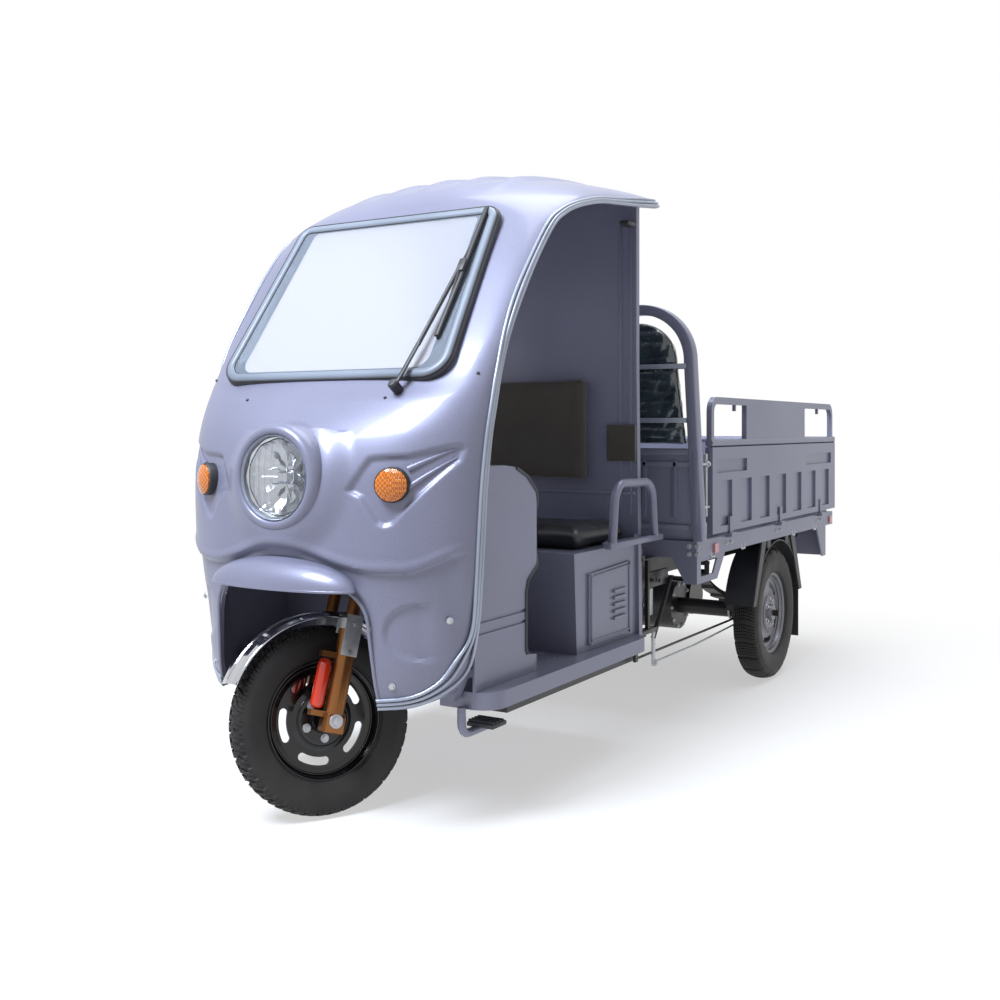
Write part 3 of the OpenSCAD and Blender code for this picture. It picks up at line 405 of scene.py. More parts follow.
# %% Tyre with raised blocks
def tyre_mesh(d, w, bead_r, steps, tread, pattern, skew):
    bm = bmesh.new()
    base = d / 2 - tread
    # the section from bead to crown: radius, and distance from the middle as a share of the width
    half = [(bead_r, 0.33), (bead_r + 0.004, 0.37), (bead_r + 0.006, 0.42), (bead_r + 0.016, 0.46),
            (d / 2 - 0.045, 0.498), (d / 2 - 0.036, 0.5), (d / 2 - 0.03, 0.488), (base - 0.0165, 0.45),
            (base - 0.009, 0.39), (base - 0.005, 0.31), (base - 0.0025, 0.22), (base - 0.0008, 0.13), (base, 0.045)]
    section = [(r, -k * w) for r, k in half] + [(r, k * w) for r, k in reversed(half)]
    turned(bm, section, steps)
    bm.verts.ensure_lookup_table()
    for v in bm.verts:
        r = math.hypot(v.co.y, v.co.z)
        turn = skew * abs(v.co.x) / (w / 2) * (1 if r > base - 0.03 else 0)
        v.co = Matrix.Rotation(turn, 3, "X") @ v.co
    blocks = []
    for f in bm.faces:
        c = f.calc_center_median()
        r = math.hypot(c.y, c.z)
        if r < base - 0.019:
            continue
        across = abs(c.x) / (w / 2)
        around = int((math.atan2(c.z, c.y) - skew * across) / math.tau * steps + steps * 2)
        if pattern(across, around, c.x > 0):
            blocks.append(f)
    top = bmesh.ops.extrude_discrete_faces(bm, faces=blocks)["faces"]
    for f in top:
        c = f.calc_center_median()
        out = Vector((0, c.y, c.z)).normalized()
        for v in f.verts:
            v.co = c + (v.co - c) * 0.8 + out * tread * 0.96
    return bm


print("tyre maker ready")

# %% [markdown]
# The steered wheel has an open block tread, the driven ones have ribs round the crown, broken by cross cuts.

# %% Tread patterns and the three tyres
def block_tread(across, around, left):
    if across > 0.8:
        return around % 3 != 0
    if across > 0.5:
        return (around + (1 if left else 0)) % 3 != 2
    return around % 2 == 0


def rib_tread(across, around, left):
    if across > 0.86:
        return around % 3 != 0
    return around % 6 != 0 and not 0.2 < across < 0.3 and not 0.53 < across < 0.62


for name, matrix, size, body, pattern, skew in [
        ("front_tyre", FRONT_AXLE, (0.470, 0.082, 0.149), "front_wheel", block_tread, 0.09),
        ("rear_tyre_left", REAR_AXLE["left"], (0.505, 0.096, 0.154), "rear_left_wheel", rib_tread, 0.05),
        ("rear_tyre_right", REAR_AXLE["right"], (0.505, 0.096, 0.154), "rear_right_wheel", rib_tread, 0.05)]:
    bm = tyre_mesh(*size, 132, 0.0055, pattern, skew)
    bmesh.ops.transform(bm, matrix=matrix, verts=bm.verts)
    piece(name + "_tread", bm, "tyre_rubber", body, 40, [name])
print("tyres with raised tread")

# %% [markdown]
# The cab's front, screen frame and roof are one glass-fibre moulding. It could be sculpted, but a loft through the same
# stations as its solid can't drift away from it. A station is half width, edge Y and Z, middle Y and Z in mm, and the
# power of the curve between them.

# %% Stations of the shell
CAB, SIDE = 912, 450  # the roof's width, and the half width at the lamps
STATIONS = [
    (SIDE - 90, -160, 300, 66, 316, 2.0), (SIDE - 66, -168, 360, 64, 362, 2.0), (SIDE - 48, -172, 430, 66, 430, 2.0),
    (SIDE - 32, -174, 510, 64, 510, 2.0), (SIDE - 16, -174, 600, 50, 600, 2.0), (SIDE - 6, -172, 700, 44, 700, 2.0),
    (SIDE - 3, -166, 800, 48, 800, 2.1), (SIDE - 1, -152, 880, 56, 880, 2.2), (SIDE, -118, 960, 70, 960, 2.4),
    (SIDE + 1, -62, 1030, 90, 1035, 2.7), (SIDE + 1, -8, 1082, 112, 1110, 2.9), (SIDE + 2, 66, 1184, 148, 1196, 2.9),
    (SIDE + 2, 140, 1292, 208, 1292, 2.8),
    (CAB / 2 - 3, 214, 1401, 290, 1405, 2.7), (CAB / 2 - 2, 288, 1510, 376, 1498, 2.5),
    (CAB / 2 - 1, 326, 1562, 436, 1536, 2.4), (CAB / 2, 362, 1600, 500, 1562, 2.2),
    (CAB / 2, 420, 1640, 580, 1584, 2.1), (CAB / 2, 510, 1674, 660, 1600, 2.0),
    (CAB / 2, 640, 1702, 760, 1612, 2.0), (CAB / 2, 800, 1724, 870, 1625, 2.0),
    (CAB / 2, 960, 1736, 980, 1640, 2.0), (CAB / 2, 1062, 1738, 1040, 1648, 2.0)]
print("stations", len(STATIONS))

# %% [markdown]
# Between two stations every number runs on a smooth curve that doesn't overshoot, so the skin has no kink at a
# station and no bulge between them. One short function also closes any row of rings into a skin of quads.

# %% Rings, and between the stations
def skin(bm, rings, ends=True):
    # quads between closed rings of points, and a cap on each end
    n = len(rings[0])
    for one, two in zip(rings, rings[1:]):
        for q in range(n):
            bm.faces.new((one[q], one[(q + 1) % n], two[(q + 1) % n], two[q]))
    if ends:
        bm.faces.new(rings[0][::-1])
        bm.faces.new(rings[-1])


def station(t):
    # the section's numbers at any place t along the list
    i = min(int(t), len(STATIONS) - 2)
    u = t - i
    rows = [STATIONS[min(max(k, 0), len(STATIONS) - 1)] for k in (i - 1, i, i + 1, i + 2)]
    out = []
    for p0, p1, p2, p3 in zip(*rows):
        a, b = (p2 - p0) / 2, (p3 - p1) / 2
        if (p1 - p0) * (p2 - p1) <= 0:
            a = 0
        if (p2 - p1) * (p3 - p2) <= 0:
            b = 0
        out.append((2 * u ** 3 - 3 * u * u + 1) * p1 + (u ** 3 - 2 * u * u + u) * a
                   + (-2 * u ** 3 + 3 * u * u) * p2 + (u ** 3 - u * u) * b)
    return out


print("half width at the lamps", round(station(8)[0]), "mm")

# %% [markdown]
# The skin's own points come from the section's superellipse, and shallow lengthwise ribs are added over the roof,
# where a thin moulding needs them. They fade in behind the windscreen and out towards the sides.

# %% Points of the skin
def ease(v, low, high):
    # 0 below low, 1 above high, and a smooth rise between
    u = min(max((v - low) / (high - low), 0), 1)
    return u * u * (3 - 2 * u)


def rib(x, y):
    # lengthwise ribs that stiffen the roof
    if abs(x) > 330 or y < 400:
        return 0
    return 11 * min(1, (y - 400) / 160) * max(0, math.cos(math.tau * x / 118)) * min(1, (330 - abs(x)) / 40)


def shell_point(t, angle):
    # a point of the plain skin, before the pressed forms; angle 0 is the middle of the front
    half, y0, z0, y1, z1, n = station(t)
    s, c = math.sin(angle), math.cos(angle)
    f = 1 - abs(c) ** (2 / n)
    x = half * math.copysign(abs(s) ** (2 / n), s)
    y = y0 + (y1 - y0) * f
    return Vector((x, y, z0 + (z1 - z0) * f + rib(x, y)))


print("front at the lamp", [round(v) for v in shell_point(8, 0)], "mm")

# %% [markdown]
# Most details are known by where they show on the front, by X and Z. This finds the loft's own place for such a point,
# so a lamp, a bolt or a ridge sits on the curved face with nothing measured twice.

# %% A point on the front
def front_place(x, z):
    # the loft's place (t, angle) of the point of the front that has this X and Z
    low, high = 0.0, 13.0
    for _ in range(30):
        t = (low + high) / 2
        half, y0, z0, y1, z1, n = station(t)
        s = min(abs(x) / half, 1.0) ** (n / 2)
        f = 1 - math.sqrt(max(1 - s * s, 0)) ** (2 / n)
        if z0 + (z1 - z0) * f < z:
            low = t
        else:
            high = t
    return t, math.copysign(math.asin(s), x)


def on_front(x, z, proud=0.0):
    # the same point in metres in the row frame
    t, angle = front_place(x, z)
    p = shell_point(t, angle)
    out = Vector((p.x / station(t)[0] * 0.8, -1, 0)).normalized() * proud
    return Vector(((p.x + out.x) * MM, (p.y + out.y) * MM + SHIFT, z * MM))


print("front over the lamp", on_front(0, 980))

# %% [markdown]
# Pressed forms: the crease over the arch, the round swelling of the lamp, a winged recess at each indicator and a
# D-shaped panel in each leg. Cutting them out by booleans leaves hard, torn edges. Here they are a height field, the
# sum of soft steps, so the shell bends into them as a moulding does.

# %% Pressed forms
LAMP_Z = 851  # height of the headlight's axis


def crease(x):
    # height of the crease over the arch
    a = abs(x)
    return 638 + 52 * (1 - ease(a, 10, 250)) + 50 * ease(a, 310, 455)


WING = [(178, 820), (214, 880), (230, 904), (262, 908), (321, 911), (404, 934), (426, 934), (434, 922), (428, 890),
        (316, 764), (298, 742), (276, 736), (256, 744), (240, 770), (218, 804)]


def wing_depth(x, z):
    # distance inside the winged outline, or 0 outside it
    inside, nearest = False, 1e9
    for (x0, z0), (x1, z1) in zip(WING, WING[1:] + WING[:1]):
        if (z0 > z) != (z1 > z) and x < x0 + (z - z0) * (x1 - x0) / (z1 - z0):
            inside = not inside
        u = min(max(((x - x0) * (x1 - x0) + (z - z0) * (z1 - z0)) / ((x1 - x0) ** 2 + (z1 - z0) ** 2), 0), 1)
        nearest = min(nearest, math.hypot(x - x0 - u * (x1 - x0), z - z0 - u * (z1 - z0)))
    return nearest if inside else 0.0


def pressed(p):
    # how far the panel is pushed in at a point of the front, in mm
    if p.y > 140 or p.z > 960:
        # behind the legs or above the lamp the skin is plain
        return 0
    a = abs(p.x)
    below = crease(p.x) - p.z
    # the panel under the crease is pushed in, with a raised lip along it
    inset = 11 * ease(below, -2, 11) * ease(p.z, 360, 600) * (1 - ease(a, 396, 440))
    inset -= 3 * ease(below, -26, -8) * (1 - ease(below, -4, 2)) * (1 - ease(a, 400, 440))
    # the lamp's swelling
    r = math.hypot(p.x, p.z - LAMP_Z)
    inset -= 21 * (1 - ease(r, 126, 206))
    # the panel in each leg, and the winged recess
    if a > 230 and 400 < p.z < 580:
        edge = math.hypot((min(a, 345) - 345) / 80, (p.z - 492) / 71)
        inset += 8 * (1 - ease(edge, 0.87, 1.0)) * (1 - ease(a, 338, 384))
    if 170 < a < 440 and 730 < p.z < 940:
        inset += 10 * ease(wing_depth(a, p.z), 0, 13)
    return inset


print("depth in the wing", round(pressed(Vector((330, -100, 840))), 1), "mm")

# %% [markdown]
# The grid of the loft is fine where the pressed forms run and coarse over the roof. The outer and inner skins are
# made row by row and closed round their rims, which no operator does for a surface that is known by its formula.

# %% The shell's grid
def evenly(low, high, step):
    count = round((high - low) / step)
    return [low + (high - low) * k / count for k in range(count)]


# the rows stand close together where the creases run
LAST = len(STATIONS) - 1
PLACES = (evenly(0, 3.2, 0.1) + evenly(3.2, 5.8, 0.05) + evenly(5.8, 9.2, 0.055) + evenly(9.2, LAST, 0.21)
          + [LAST])
ROWS, COLUMNS, WALL = len(PLACES) - 1, 208, 13
grid = [[shell_point(t, math.radians(-90 + 180 * j / COLUMNS)) for j in range(COLUMNS + 1)] for t in PLACES]


def grid_normal(i, j):
    a = grid[i][min(j + 1, COLUMNS)] - grid[i][max(j - 1, 0)]
    b = grid[min(i + 1, ROWS)][j] - grid[max(i - 1, 0)][j]
    return b.cross(a).normalized()


normals = [[grid_normal(i, j) for j in range(COLUMNS + 1)] for i in range(ROWS + 1)]
bm = bmesh.new()
outer = [[bm.verts.new((p + n * pressed(p)) * MM + Vector((0, SHIFT, 0))) for p, n in zip(ps, ns)]
         for ps, ns in zip(grid, normals)]
inner = [[bm.verts.new((p + n * (WALL + pressed(p) * 0.9)) * MM + Vector((0, SHIFT, 0))) for p, n in zip(ps, ns)]
         for ps, ns in zip(grid, normals)]
for i in range(ROWS):
    for j in range(COLUMNS):
        bm.faces.new((outer[i][j], outer[i][j + 1], outer[i + 1][j + 1], outer[i + 1][j]))
        bm.faces.new((inner[i][j], inner[i + 1][j], inner[i + 1][j + 1], inner[i][j + 1]))
for j in range(COLUMNS):
    bm.faces.new((outer[0][j], inner[0][j], inner[0][j + 1], outer[0][j + 1]))
    bm.faces.new((outer[ROWS][j], outer[ROWS][j + 1], inner[ROWS][j + 1], inner[ROWS][j]))
for i in range(ROWS):
    bm.faces.new((outer[i][0], outer[i + 1][0], inner[i + 1][0], inner[i][0]))
    bm.faces.new((outer[i][COLUMNS], inner[i][COLUMNS], inner[i + 1][COLUMNS], outer[i + 1][COLUMNS]))
print("shell loft", len(bm.faces), "faces")

# %% [markdown]
# The openings are sawn out of the real moulding, with crisp edges, so here a boolean is the right tool: the screen,
# the wheel arch, the legs' rounded corners and the lamp holes are prisms, and one exact cut takes them all.

# %% Places of screen and lamps
SCREEN = Matrix.Translation((0, -4 * MM + SHIFT, 1086 * MM)) @ Matrix.Rotation(math.radians(90 - 34.2), 4, "X")
LAMP = Matrix.Translation((0, -170 * MM + SHIFT, LAMP_Z * MM)) @ Matrix.Rotation(math.radians(-90), 4, "Z")
FRONT = Matrix.Translation((0, SHIFT, 0)) @ Matrix.Rotation(math.radians(90), 4, "X")
BLINKER = {s: Matrix.Translation((s * 292 * MM, -112 * MM + SHIFT, 838 * MM))
           @ Matrix.Rotation(math.radians(s * 24), 4, "Z") @ Matrix.Rotation(math.radians(90), 4, "X") for s in (1, -1)}


def arc(cx, cy, r, a0, a1, n):
    # points round a circle, from angle a0 to a1 in degrees
    turns = [math.radians(a0 + (a1 - a0) * k / n) for k in range(n + 1)]
    return [(cx + r * math.cos(a), cy + r * math.sin(a)) for a in turns]


def screen_outline(grow, n=10):
    # the opening seen square on, with round corners; grow moves the whole line outwards
    low, high = (294, 70, 70 + grow), (292, 514, 46 + grow)
    return (arc(-low[0], low[1], low[2], 180, 270, n) + arc(low[0], low[1], low[2], 270, 360, n)
            + arc(high[0], high[1], high[2], 2, 90, n) + arc(-high[0], high[1], high[2], 90, 178, n))


print("screen outline", len(screen_outline(0)), "points")

# %% [markdown]
# Each cutter is a flat outline drawn out along its own axis. They are collected in one collection, so that one
# modifier takes them all in one go.

# %% Cutters
def prism(points, low, high, matrix, name):
    # a flat outline in millimetres, drawn out between two depths
    bm2 = bmesh.new()
    skin(bm2, [[bm2.verts.new((x * MM, y * MM, z * MM)) for x, y in points] for z in (low, high)])
    bmesh.ops.transform(bm2, matrix=matrix, verts=bm2.verts)
    bmesh.ops.recalc_face_normals(bm2, faces=bm2.faces)
    cutters.objects.link(bpy.data.objects.new(name, as_mesh(bm2, name)))


cutters = bpy.data.collections.new("cutters")
bpy.context.scene.collection.children.link(cutters)
prism(screen_outline(-4), -160, 160, SCREEN, "cut_screen")
prism([(-250, 200), (250, 200), (250, 320), (238, 510)] + arc(146, 510, 90, 12, 90, 8)
      + arc(-146, 510, 90, 90, 168, 8) + [(-238, 510), (-250, 320)], -40, 400, FRONT, "cut_arch")
for s in (1, -1):
    corner = [(200, 200), (560, 200), (560, 440)] + arc(280, 440, 130, 0, -90, 14) + [(200, 310)]
    prism([(s * x, y) for x, y in corner][::s], -40, 400, FRONT, "cut_corner")
    prism(arc(0, 0, 39.5, 0, 354, 59), -90, 90, BLINKER[s], "cut_blinker")
prism(arc(0, 0, 104, 0, 355, 71), -90, 110, LAMP @ Matrix.Rotation(math.radians(90), 4, "Y"), "cut_lamp")


def carve(obj, collection):
    # subtract every cutter of the collection, then throw them away
    cut = obj.modifiers.new("cut", "BOOLEAN")
    cut.operation, cut.operand_type, cut.collection, cut.solver = "DIFFERENCE", "COLLECTION", collection, "EXACT"
    bpy.context.view_layer.update()
    apply_modifiers(obj)
    for c in list(collection.objects):
        bpy.data.objects.remove(c)
    bpy.data.collections.remove(collection)


# %% [markdown]
# The loft becomes a piece before the cut, so that the boolean keeps its paint. Shading is smooth but for edges that
# turn more than 38 degrees, which are the sawn rims of the openings.

# %% The shell, cut
shell = piece("cab_shell_moulding", bm, "shell_paint", "chassis", 38, ["cab_shell"])
carve(shell, cutters)
shell.data.shade_smooth()
shell.data.set_sharp_from_angle(angle=math.radians(38))
print("shell cut", len(shell.data.polygons), "faces")

# %% [markdown]
# Beading, seals, hoops and rods are all round or oval bars along a line. A curve object with a bevel would do, but this
# tube can be tapered or flattened and stays a plain mesh. Blocks and bolt heads start from bmesh's own shapes.

# %% Tubes
def tube(bm, points, radius, sides=10, closed=False, flat=1.0):
    # a round or flattened bar along a line; the section is carried from point to point, so it never twists
    points = [Vector(p) for p in points]
    n = len(points)
    rings = []
    side = None
    for k, p in enumerate(points):
        a = points[k - 1] if k or closed else p
        b = points[(k + 1) % n] if k < n - 1 or closed else p
        along = (b - a).normalized()
        if side is None:
            side = along.cross(Vector((0, 0, 1)) if abs(along.z) < 0.9 else Vector((1, 0, 0))).normalized()
        side = (side - along * side.dot(along)).normalized()
        up = along.cross(side)
        r = radius(k / (n - 1)) if callable(radius) else radius
        turns = [math.tau * q / sides for q in range(sides)]
        rings.append([bm.verts.new(p + side * r * math.cos(w) + up * r * flat * math.sin(w)) for w in turns])
    skin(bm, rings + rings[:1] if closed else rings, not closed)


def along_line(points, step):
    # the same line with points about one step apart
    out = [Vector(points[0])]
    for a, b in zip(points, points[1:]):
        a, b = Vector(a), Vector(b)
        count = max(1, round((b - a).length / step))
        out += [a + (b - a) * k / count for k in range(1, count + 1)]
    return out


print("tube ready")

# %% [markdown]
# Flat bar, brackets and bolt heads are bevelled blocks and short hexagons. They are placed by millimetres measured
# from the front axle, as on a drawing, and one function turns those into the frame's metres.

# %% Blocks and bolts
def at(x, y, z):
    # measured millimetres, from the front axle line, in metres in the row frame
    return Vector((x * MM, y * MM + SHIFT, z * MM))


def block(bm, low, high, bevel=0.0, matrix=Matrix.Identity(4)):
    made = bmesh.ops.create_cube(bm, size=1)["verts"]
    bmesh.ops.transform(bm, matrix=matrix @ Matrix.Translation((low + high) / 2) @ Matrix.Diagonal((*(high - low), 1)),
                        verts=made)
    if bevel:
        edges = list({e for v in made for e in v.link_edges})
        bmesh.ops.bevel(bm, geom=edges, offset=bevel, segments=2, profile=0.5, affect="EDGES")


def side_block(bm, s, xs, ys, zs, bevel=0.0):
    # a block on the left (s = 1) or the right (s = -1), by its measured ranges
    low, high = sorted((s * xs[0], s * xs[1]))
    block(bm, at(low, ys[0], zs[0]), at(high, ys[1], zs[1]), bevel)


def bolt(bm, place, out, r=0.006):
    # a hexagon head on its washer
    turn = Matrix.Translation(place) @ Vector(out).to_track_quat("Z", "Y").to_matrix().to_4x4()
    for sides, radius, low, high in ((20, 1.5 * r, 0.0, 0.25 * r), (6, r, 0.25 * r, 1.0 * r)):
        middle = turn @ Matrix.Translation((0, 0, (low + high) / 2))
        bmesh.ops.create_cone(bm, cap_ends=True, segments=sides, radius1=radius, radius2=radius * 0.93,
                              depth=high - low, matrix=middle)


print("block and bolt ready")

# %% [markdown]
# Three lines of satin beading run round each leg's corner and up the shell's side edge to the roof. The line is found
# by its distance in from the edge and smoothed where the corner meets the side, so it lies on the skin all the way.

# %% Beading on the shell's edge
def edge_angle(t, inset):
    # angle of the loft's point that lies this far in from the side edge
    half, y0, z0, y1, z1, n = station(t)
    return math.acos((inset / math.hypot(y1 - y0, z1 - z0)) ** (n / 2))


def loft_place(t, angle, proud):
    # a point that stands a little proud of the skin
    p = shell_point(t, angle)
    across = shell_point(t, min(angle + 0.01, math.pi / 2)) - shell_point(t, angle - 0.01)
    along = shell_point(min(t + 0.02, LAST), angle) - shell_point(max(t - 0.02, 0), angle)
    return p + across.cross(along).normalized() * proud


def edge_line(inset):
    # round the leg's corner and up the side edge, smoothed where the two meet
    places = []
    for x, z in [(244, 310 + inset)] + arc(280, 440, 130 - inset, -90, -3, 18):
        t, angle = front_place(x, z)
        places.append((t, min(angle, edge_angle(t, inset))))
    t0 = places[-1][0]
    up = [t0 + (LAST - t0) * k / 150 for k in range(1, 151)]
    places += [(t, edge_angle(t, inset)) for t in up]
    for _ in range(14):
        places = [places[0]] + [
            tuple((a + 2 * b + c) / 4 for a, b, c in zip(*places[k - 1:k + 2])) if places[k][0] < 4.5 else places[k]
            for k in range(1, len(places) - 1)] + [places[-1]]
    return [loft_place(t, angle, 2.2) for t, angle in places]


for s, name in ((1, "left"), (-1, "right")):
    bm = bmesh.new()
    for inset in (5, 14.5, 24):
        tube(bm, [Vector((s * p.x * MM, p.y * MM + SHIFT, p.z * MM)) for p in edge_line(inset)], 0.0046, 8)
    piece("edge_beading_" + name, bm, "silver_trim", "chassis", 50, ["edge_trim"])
print("beading")

# %% [markdown]
# Two tapering flutes lie in each winged recess, and a rounded bead follows the rim of the arch. They are tubes half
# sunk in the skin, which reads as a pressed ridge.

# %% Ridges
bm = bmesh.new()
for s in (1, -1):
    for flute in ([(326, 874), (414, 920)], [(330, 832), (420, 902)]):
        line = along_line([(x, z, 0) for x, z in flute], 8)
        tube(bm, [on_front(s * p.x, p.y, -10) for p in line], lambda u: 0.0075 * (1 - 0.8 * u) + 0.0008, 10)
    arch = [(250, 322), (238, 500)] + arc(146, 510, 91, 8, 90, 10) + [(0, 601)]
    tube(bm, [on_front(s * p.x, p.y, -1) for p in along_line([(x, z, 0) for x, z in arch], 14)], 0.0046, 8)
piece("shell_ridges", bm, "shell_paint", "chassis", 60)
print("ridges")

# %% [markdown]
# The windscreen sits in a rubber profile with a broad grey face and two dark lips, and a skirt that closes the gap to
# the shell. One extruded section would need its own sweep, so it is built from the four beads that it shows.

# %% Windscreen seal and border
def on_pane(x, y, lift):
    # millimetres on the pane's plane, and out from it
    return SCREEN @ Vector((x * MM, y * MM, lift * MM))


def round_pane(grow, lift):
    # a line round the pane, this far out from its edge and this high over it
    return [on_pane(x, y, lift) for x, y in screen_outline(grow, 14)]


bm = bmesh.new()
tube(bm, round_pane(-17, 2.0), 0.0125, 12, True, 0.66)
piece("windscreen_seal_rubber", bm, "seal_rubber", "chassis", 50, ["windscreen_seal"])
bm = bmesh.new()
for grow, lift in ((-4.5, 4.0), (-28, 3.0)):
    tube(bm, round_pane(grow, lift), 0.0028, 8, True)
tube(bm, round_pane(-9, -6), 0.0105, 10, True)
piece("windscreen_seal_lips", bm, "black_rubber", "chassis", 50)

# a grey border printed on the pane, wide at the sides
bm = bmesh.new()
outer = [bm.verts.new(on_pane(x, y, 3.1)) for x, y in screen_outline(-26, 14)]
inner = [bm.verts.new(on_pane(x * 0.895, 272 + (y - 272) * 0.985, 3.1)) for x, y in screen_outline(-30, 14)]
skin(bm, [outer, inner], ends=False)
bmesh.ops.solidify(bm, geom=bm.faces[:], thickness=0.0004)
piece("windscreen_border", bm, "screen_border", "chassis", 30)
print("seal and border")

# %% [markdown]
# The wiper is parked upright: a pivot cap, a tapering arm, a hinge, and a blade that carries its rubber on a bow.
# It is placed in the pane's own plane, so every part keeps its lift over the glass.

# %% Wiper
bm = bmesh.new()
turned(bm, [(0.0004, 0.036), (0.009, 0.0355), (0.013, 0.031), (0.013, -0.03), (0.0004, -0.03)], 28,
       SCREEN @ Matrix.Translation((0.246, -0.034, 0)) @ Matrix.Rotation(math.radians(-90), 4, "Y"))
tube(bm, [on_pane(246, -34, 22), on_pane(256, 6, 24), on_pane(270, 90, 26)], 0.008, 10, flat=0.6)
tube(bm, [on_pane(270, 84, 26), on_pane(298, 336, 22)], 0.0058, 8)
blade = [on_pane(303, 120, 13), on_pane(306, 300, 16), on_pane(303, 420, 16), on_pane(298, 545, 12)]
tube(bm, blade, 0.0068, 8, flat=0.8)
tube(bm, [on_pane(304, 116, 7), on_pane(299, 549, 7)], 0.003, 6, flat=1.8)
block(bm, Vector((0.291, 0.318, 0.014)), Vector((0.312, 0.358, 0.027)), 0.003, SCREEN)
tube(bm, [on_pane(303, 200, 14), on_pane(300, 330, 24), on_pane(301, 440, 14)], 0.0035, 8)
piece("wiper_arm", bm, "black_plastic", "chassis", 40, ["wiper"])
print("wiper")

# %% [markdown]
# The visor over the wheel is a second moulding, a flattened dome with a rolled rim. A squashed sphere would cut through
# the front, so its section is swept round instead, and its back edge follows the face that it is bonded to.

# %% Visor
def visor_loop(angle):
    # one closed section of the dome's wall, at this angle round the lamp's axis
    k = max(math.cos(angle), 0.05)
    x = 221 * math.sin(angle)
    face = (on_front(x, 640).y - SHIFT) / MM
    loop = []
    for wall, turns in ((0.0, range(0, 157, 12)), (min(5.0, 24 * k), range(156, -1, -12))):
        for a in turns:
            c, h = math.cos(math.radians(a)), math.sin(math.radians(a))
            loop.append(at(x, min(-160 - (65.5 * k - wall) * c, face + 3), 588.4 + (74 * k - wall) * h))
    return loop


bm = bmesh.new()
loops = [[bm.verts.new(p) for p in visor_loop(math.radians(a))] for a in range(-88, 89, 4)]
skin(bm, loops)
rim = [at(218 * math.sin(math.radians(a)), -160 - 62 * math.cos(math.radians(a)), 591.5) for a in range(-88, 89, 4)]
tube(bm, rim, 0.0036, 8)
piece("visor_dome", bm, "shell_paint", "chassis", 50, ["front_visor"])
print("visor")

# %% [markdown]
# Inside the cab a rubber lip guards the fairing's sawn rim, and another seals the roof to the rear wall. Both are bars
# along lines that follow the solids they sit on.

# %% Lips and seals
RIM_LINE = [(262, 868), (318, 845), (367, 805), (393, 757), (401, 700), (399, 652), (387, 623), (321, 577), (311, 548),
            (311, 400), (318, 388)]


def fairing_side(y):
    # half width of the fairing at this Y: straight, then round its rear corner
    return 360 + math.sqrt(44 ** 2 - max(0, y - 358) ** 2)


bm = bmesh.new()
for s in (1, -1):
    line = along_line([(y, z, 0) for y, z in RIM_LINE], 14)
    tube(bm, [at(s * (fairing_side(p.x) - 0.5), p.x + 1, p.y) for p in line], 0.005, 8)
tube(bm, [at(x, 996, 1633.5 + 95.5 * math.sqrt(1 - (x / 456) ** 2) - 7) for x in range(-396, 397, 18)], 0.005, 8)
piece("cab_lip_seals", bm, "black_rubber", "chassis", 50)
print("lips")

# %% [markdown]
# Small parts that make the size readable: folds pressed in the rear wall, a rubbing pad by the driver's elbow, blanked
# screw holes in the front, and the rivets that hold each leg.

# %% Folds, pad, plugs and rivets
bm = bmesh.new()
for s in (1, -1):
    for x in (346, 380):
        side_block(bm, s, (x, x + 7), (995, 1000.5), (700, 1600), 0.002)
block(bm, at(-398, 995, 762), at(398, 1000.5, 770), 0.002)
piece("rear_wall_folds", bm, "shell_paint", "chassis")

bm = bmesh.new()
block(bm, at(306, 986, 866), at(403, 1000, 978), 0.003)
piece("rear_wall_pad", bm, "grey_cloth", "chassis")

bm = bmesh.new()
for s in (1, -1):
    for x, z in ((424, 1099), (221, 1041)):
        p = on_front(s * x, z, 0.5)
        bmesh.ops.create_uvsphere(bm, u_segments=12, v_segments=8, radius=0.0042, matrix=Matrix.Translation(p))
    side_block(bm, s, (372, 402), (940, 996), (1588, 1602), 0.003)
piece("cab_plugs", bm, "black_plastic", "chassis", 60)
bm = bmesh.new()
for s in (1, -1):
    for x, z in ((280, 368), (392, 520)):
        bolt(bm, on_front(s * x, z, 0.3), (s * 0.4, -1, 0), 0.0055)
piece("leg_rivets", bm, "zinc_plate", "chassis")
print("cab parts")

# %% [markdown]
# The headlight is a painted cone round a chrome bowl with ten soft facets, a shield over the bulb on three stays, and
# a thin domed lens. Everything is turned about the lamp's own axis. The bowl keeps its facets by a small wave in depth.

# %% Headlight
bm = bmesh.new()
turned(bm, [(0.1035, -0.05), (0.1035, 0.021), (0.1065, 0.0255), (0.1115, 0.0275), (0.118, 0.0265), (0.1245, 0.022),
            (0.1295, 0.014), (0.1325, 0.002), (0.135, -0.05)], 96, LAMP, closed=True)
piece("headlight_cone", bm, "shell_paint", "chassis", 50)
bm = bmesh.new()
bowl = [(0.018 + 0.0785 * (k / 9), -0.036 + 0.044 * (k / 9) ** 1.7) for k in range(10)]
turned(bm, [(0.0005, -0.030), (0.012, -0.028), (0.0145, -0.034)] + bowl, 40, LAMP)
for v in bm.verts:
    local = LAMP.inverted() @ v.co
    r = math.hypot(local.y, local.z)
    if r > 0.03:
        step = 0.0022 * math.cos(math.atan2(local.z, local.y) * 10)
        v.co = LAMP @ (local + Vector((step, 0, 0)))
piece("headlight_bowl", bm, "chrome_plate", "chassis", 12)
bm = bmesh.new()
turned(bm, [(0.0005, -0.002), (0.010, -0.004), (0.0165, -0.012), (0.017, -0.024), (0.012, -0.03)], 32, LAMP)
for angle in range(3):
    turn = LAMP @ Matrix.Rotation(math.radians(90 + 120 * angle), 4, "X")
    tube(bm, [turn @ Vector((-0.02, 0, 0.014)), turn @ Vector((-0.008, 0, 0.06))], 0.0018, 6)
piece("headlight_shield", bm, "chrome_plate", "chassis", 30)
bm = bmesh.new()
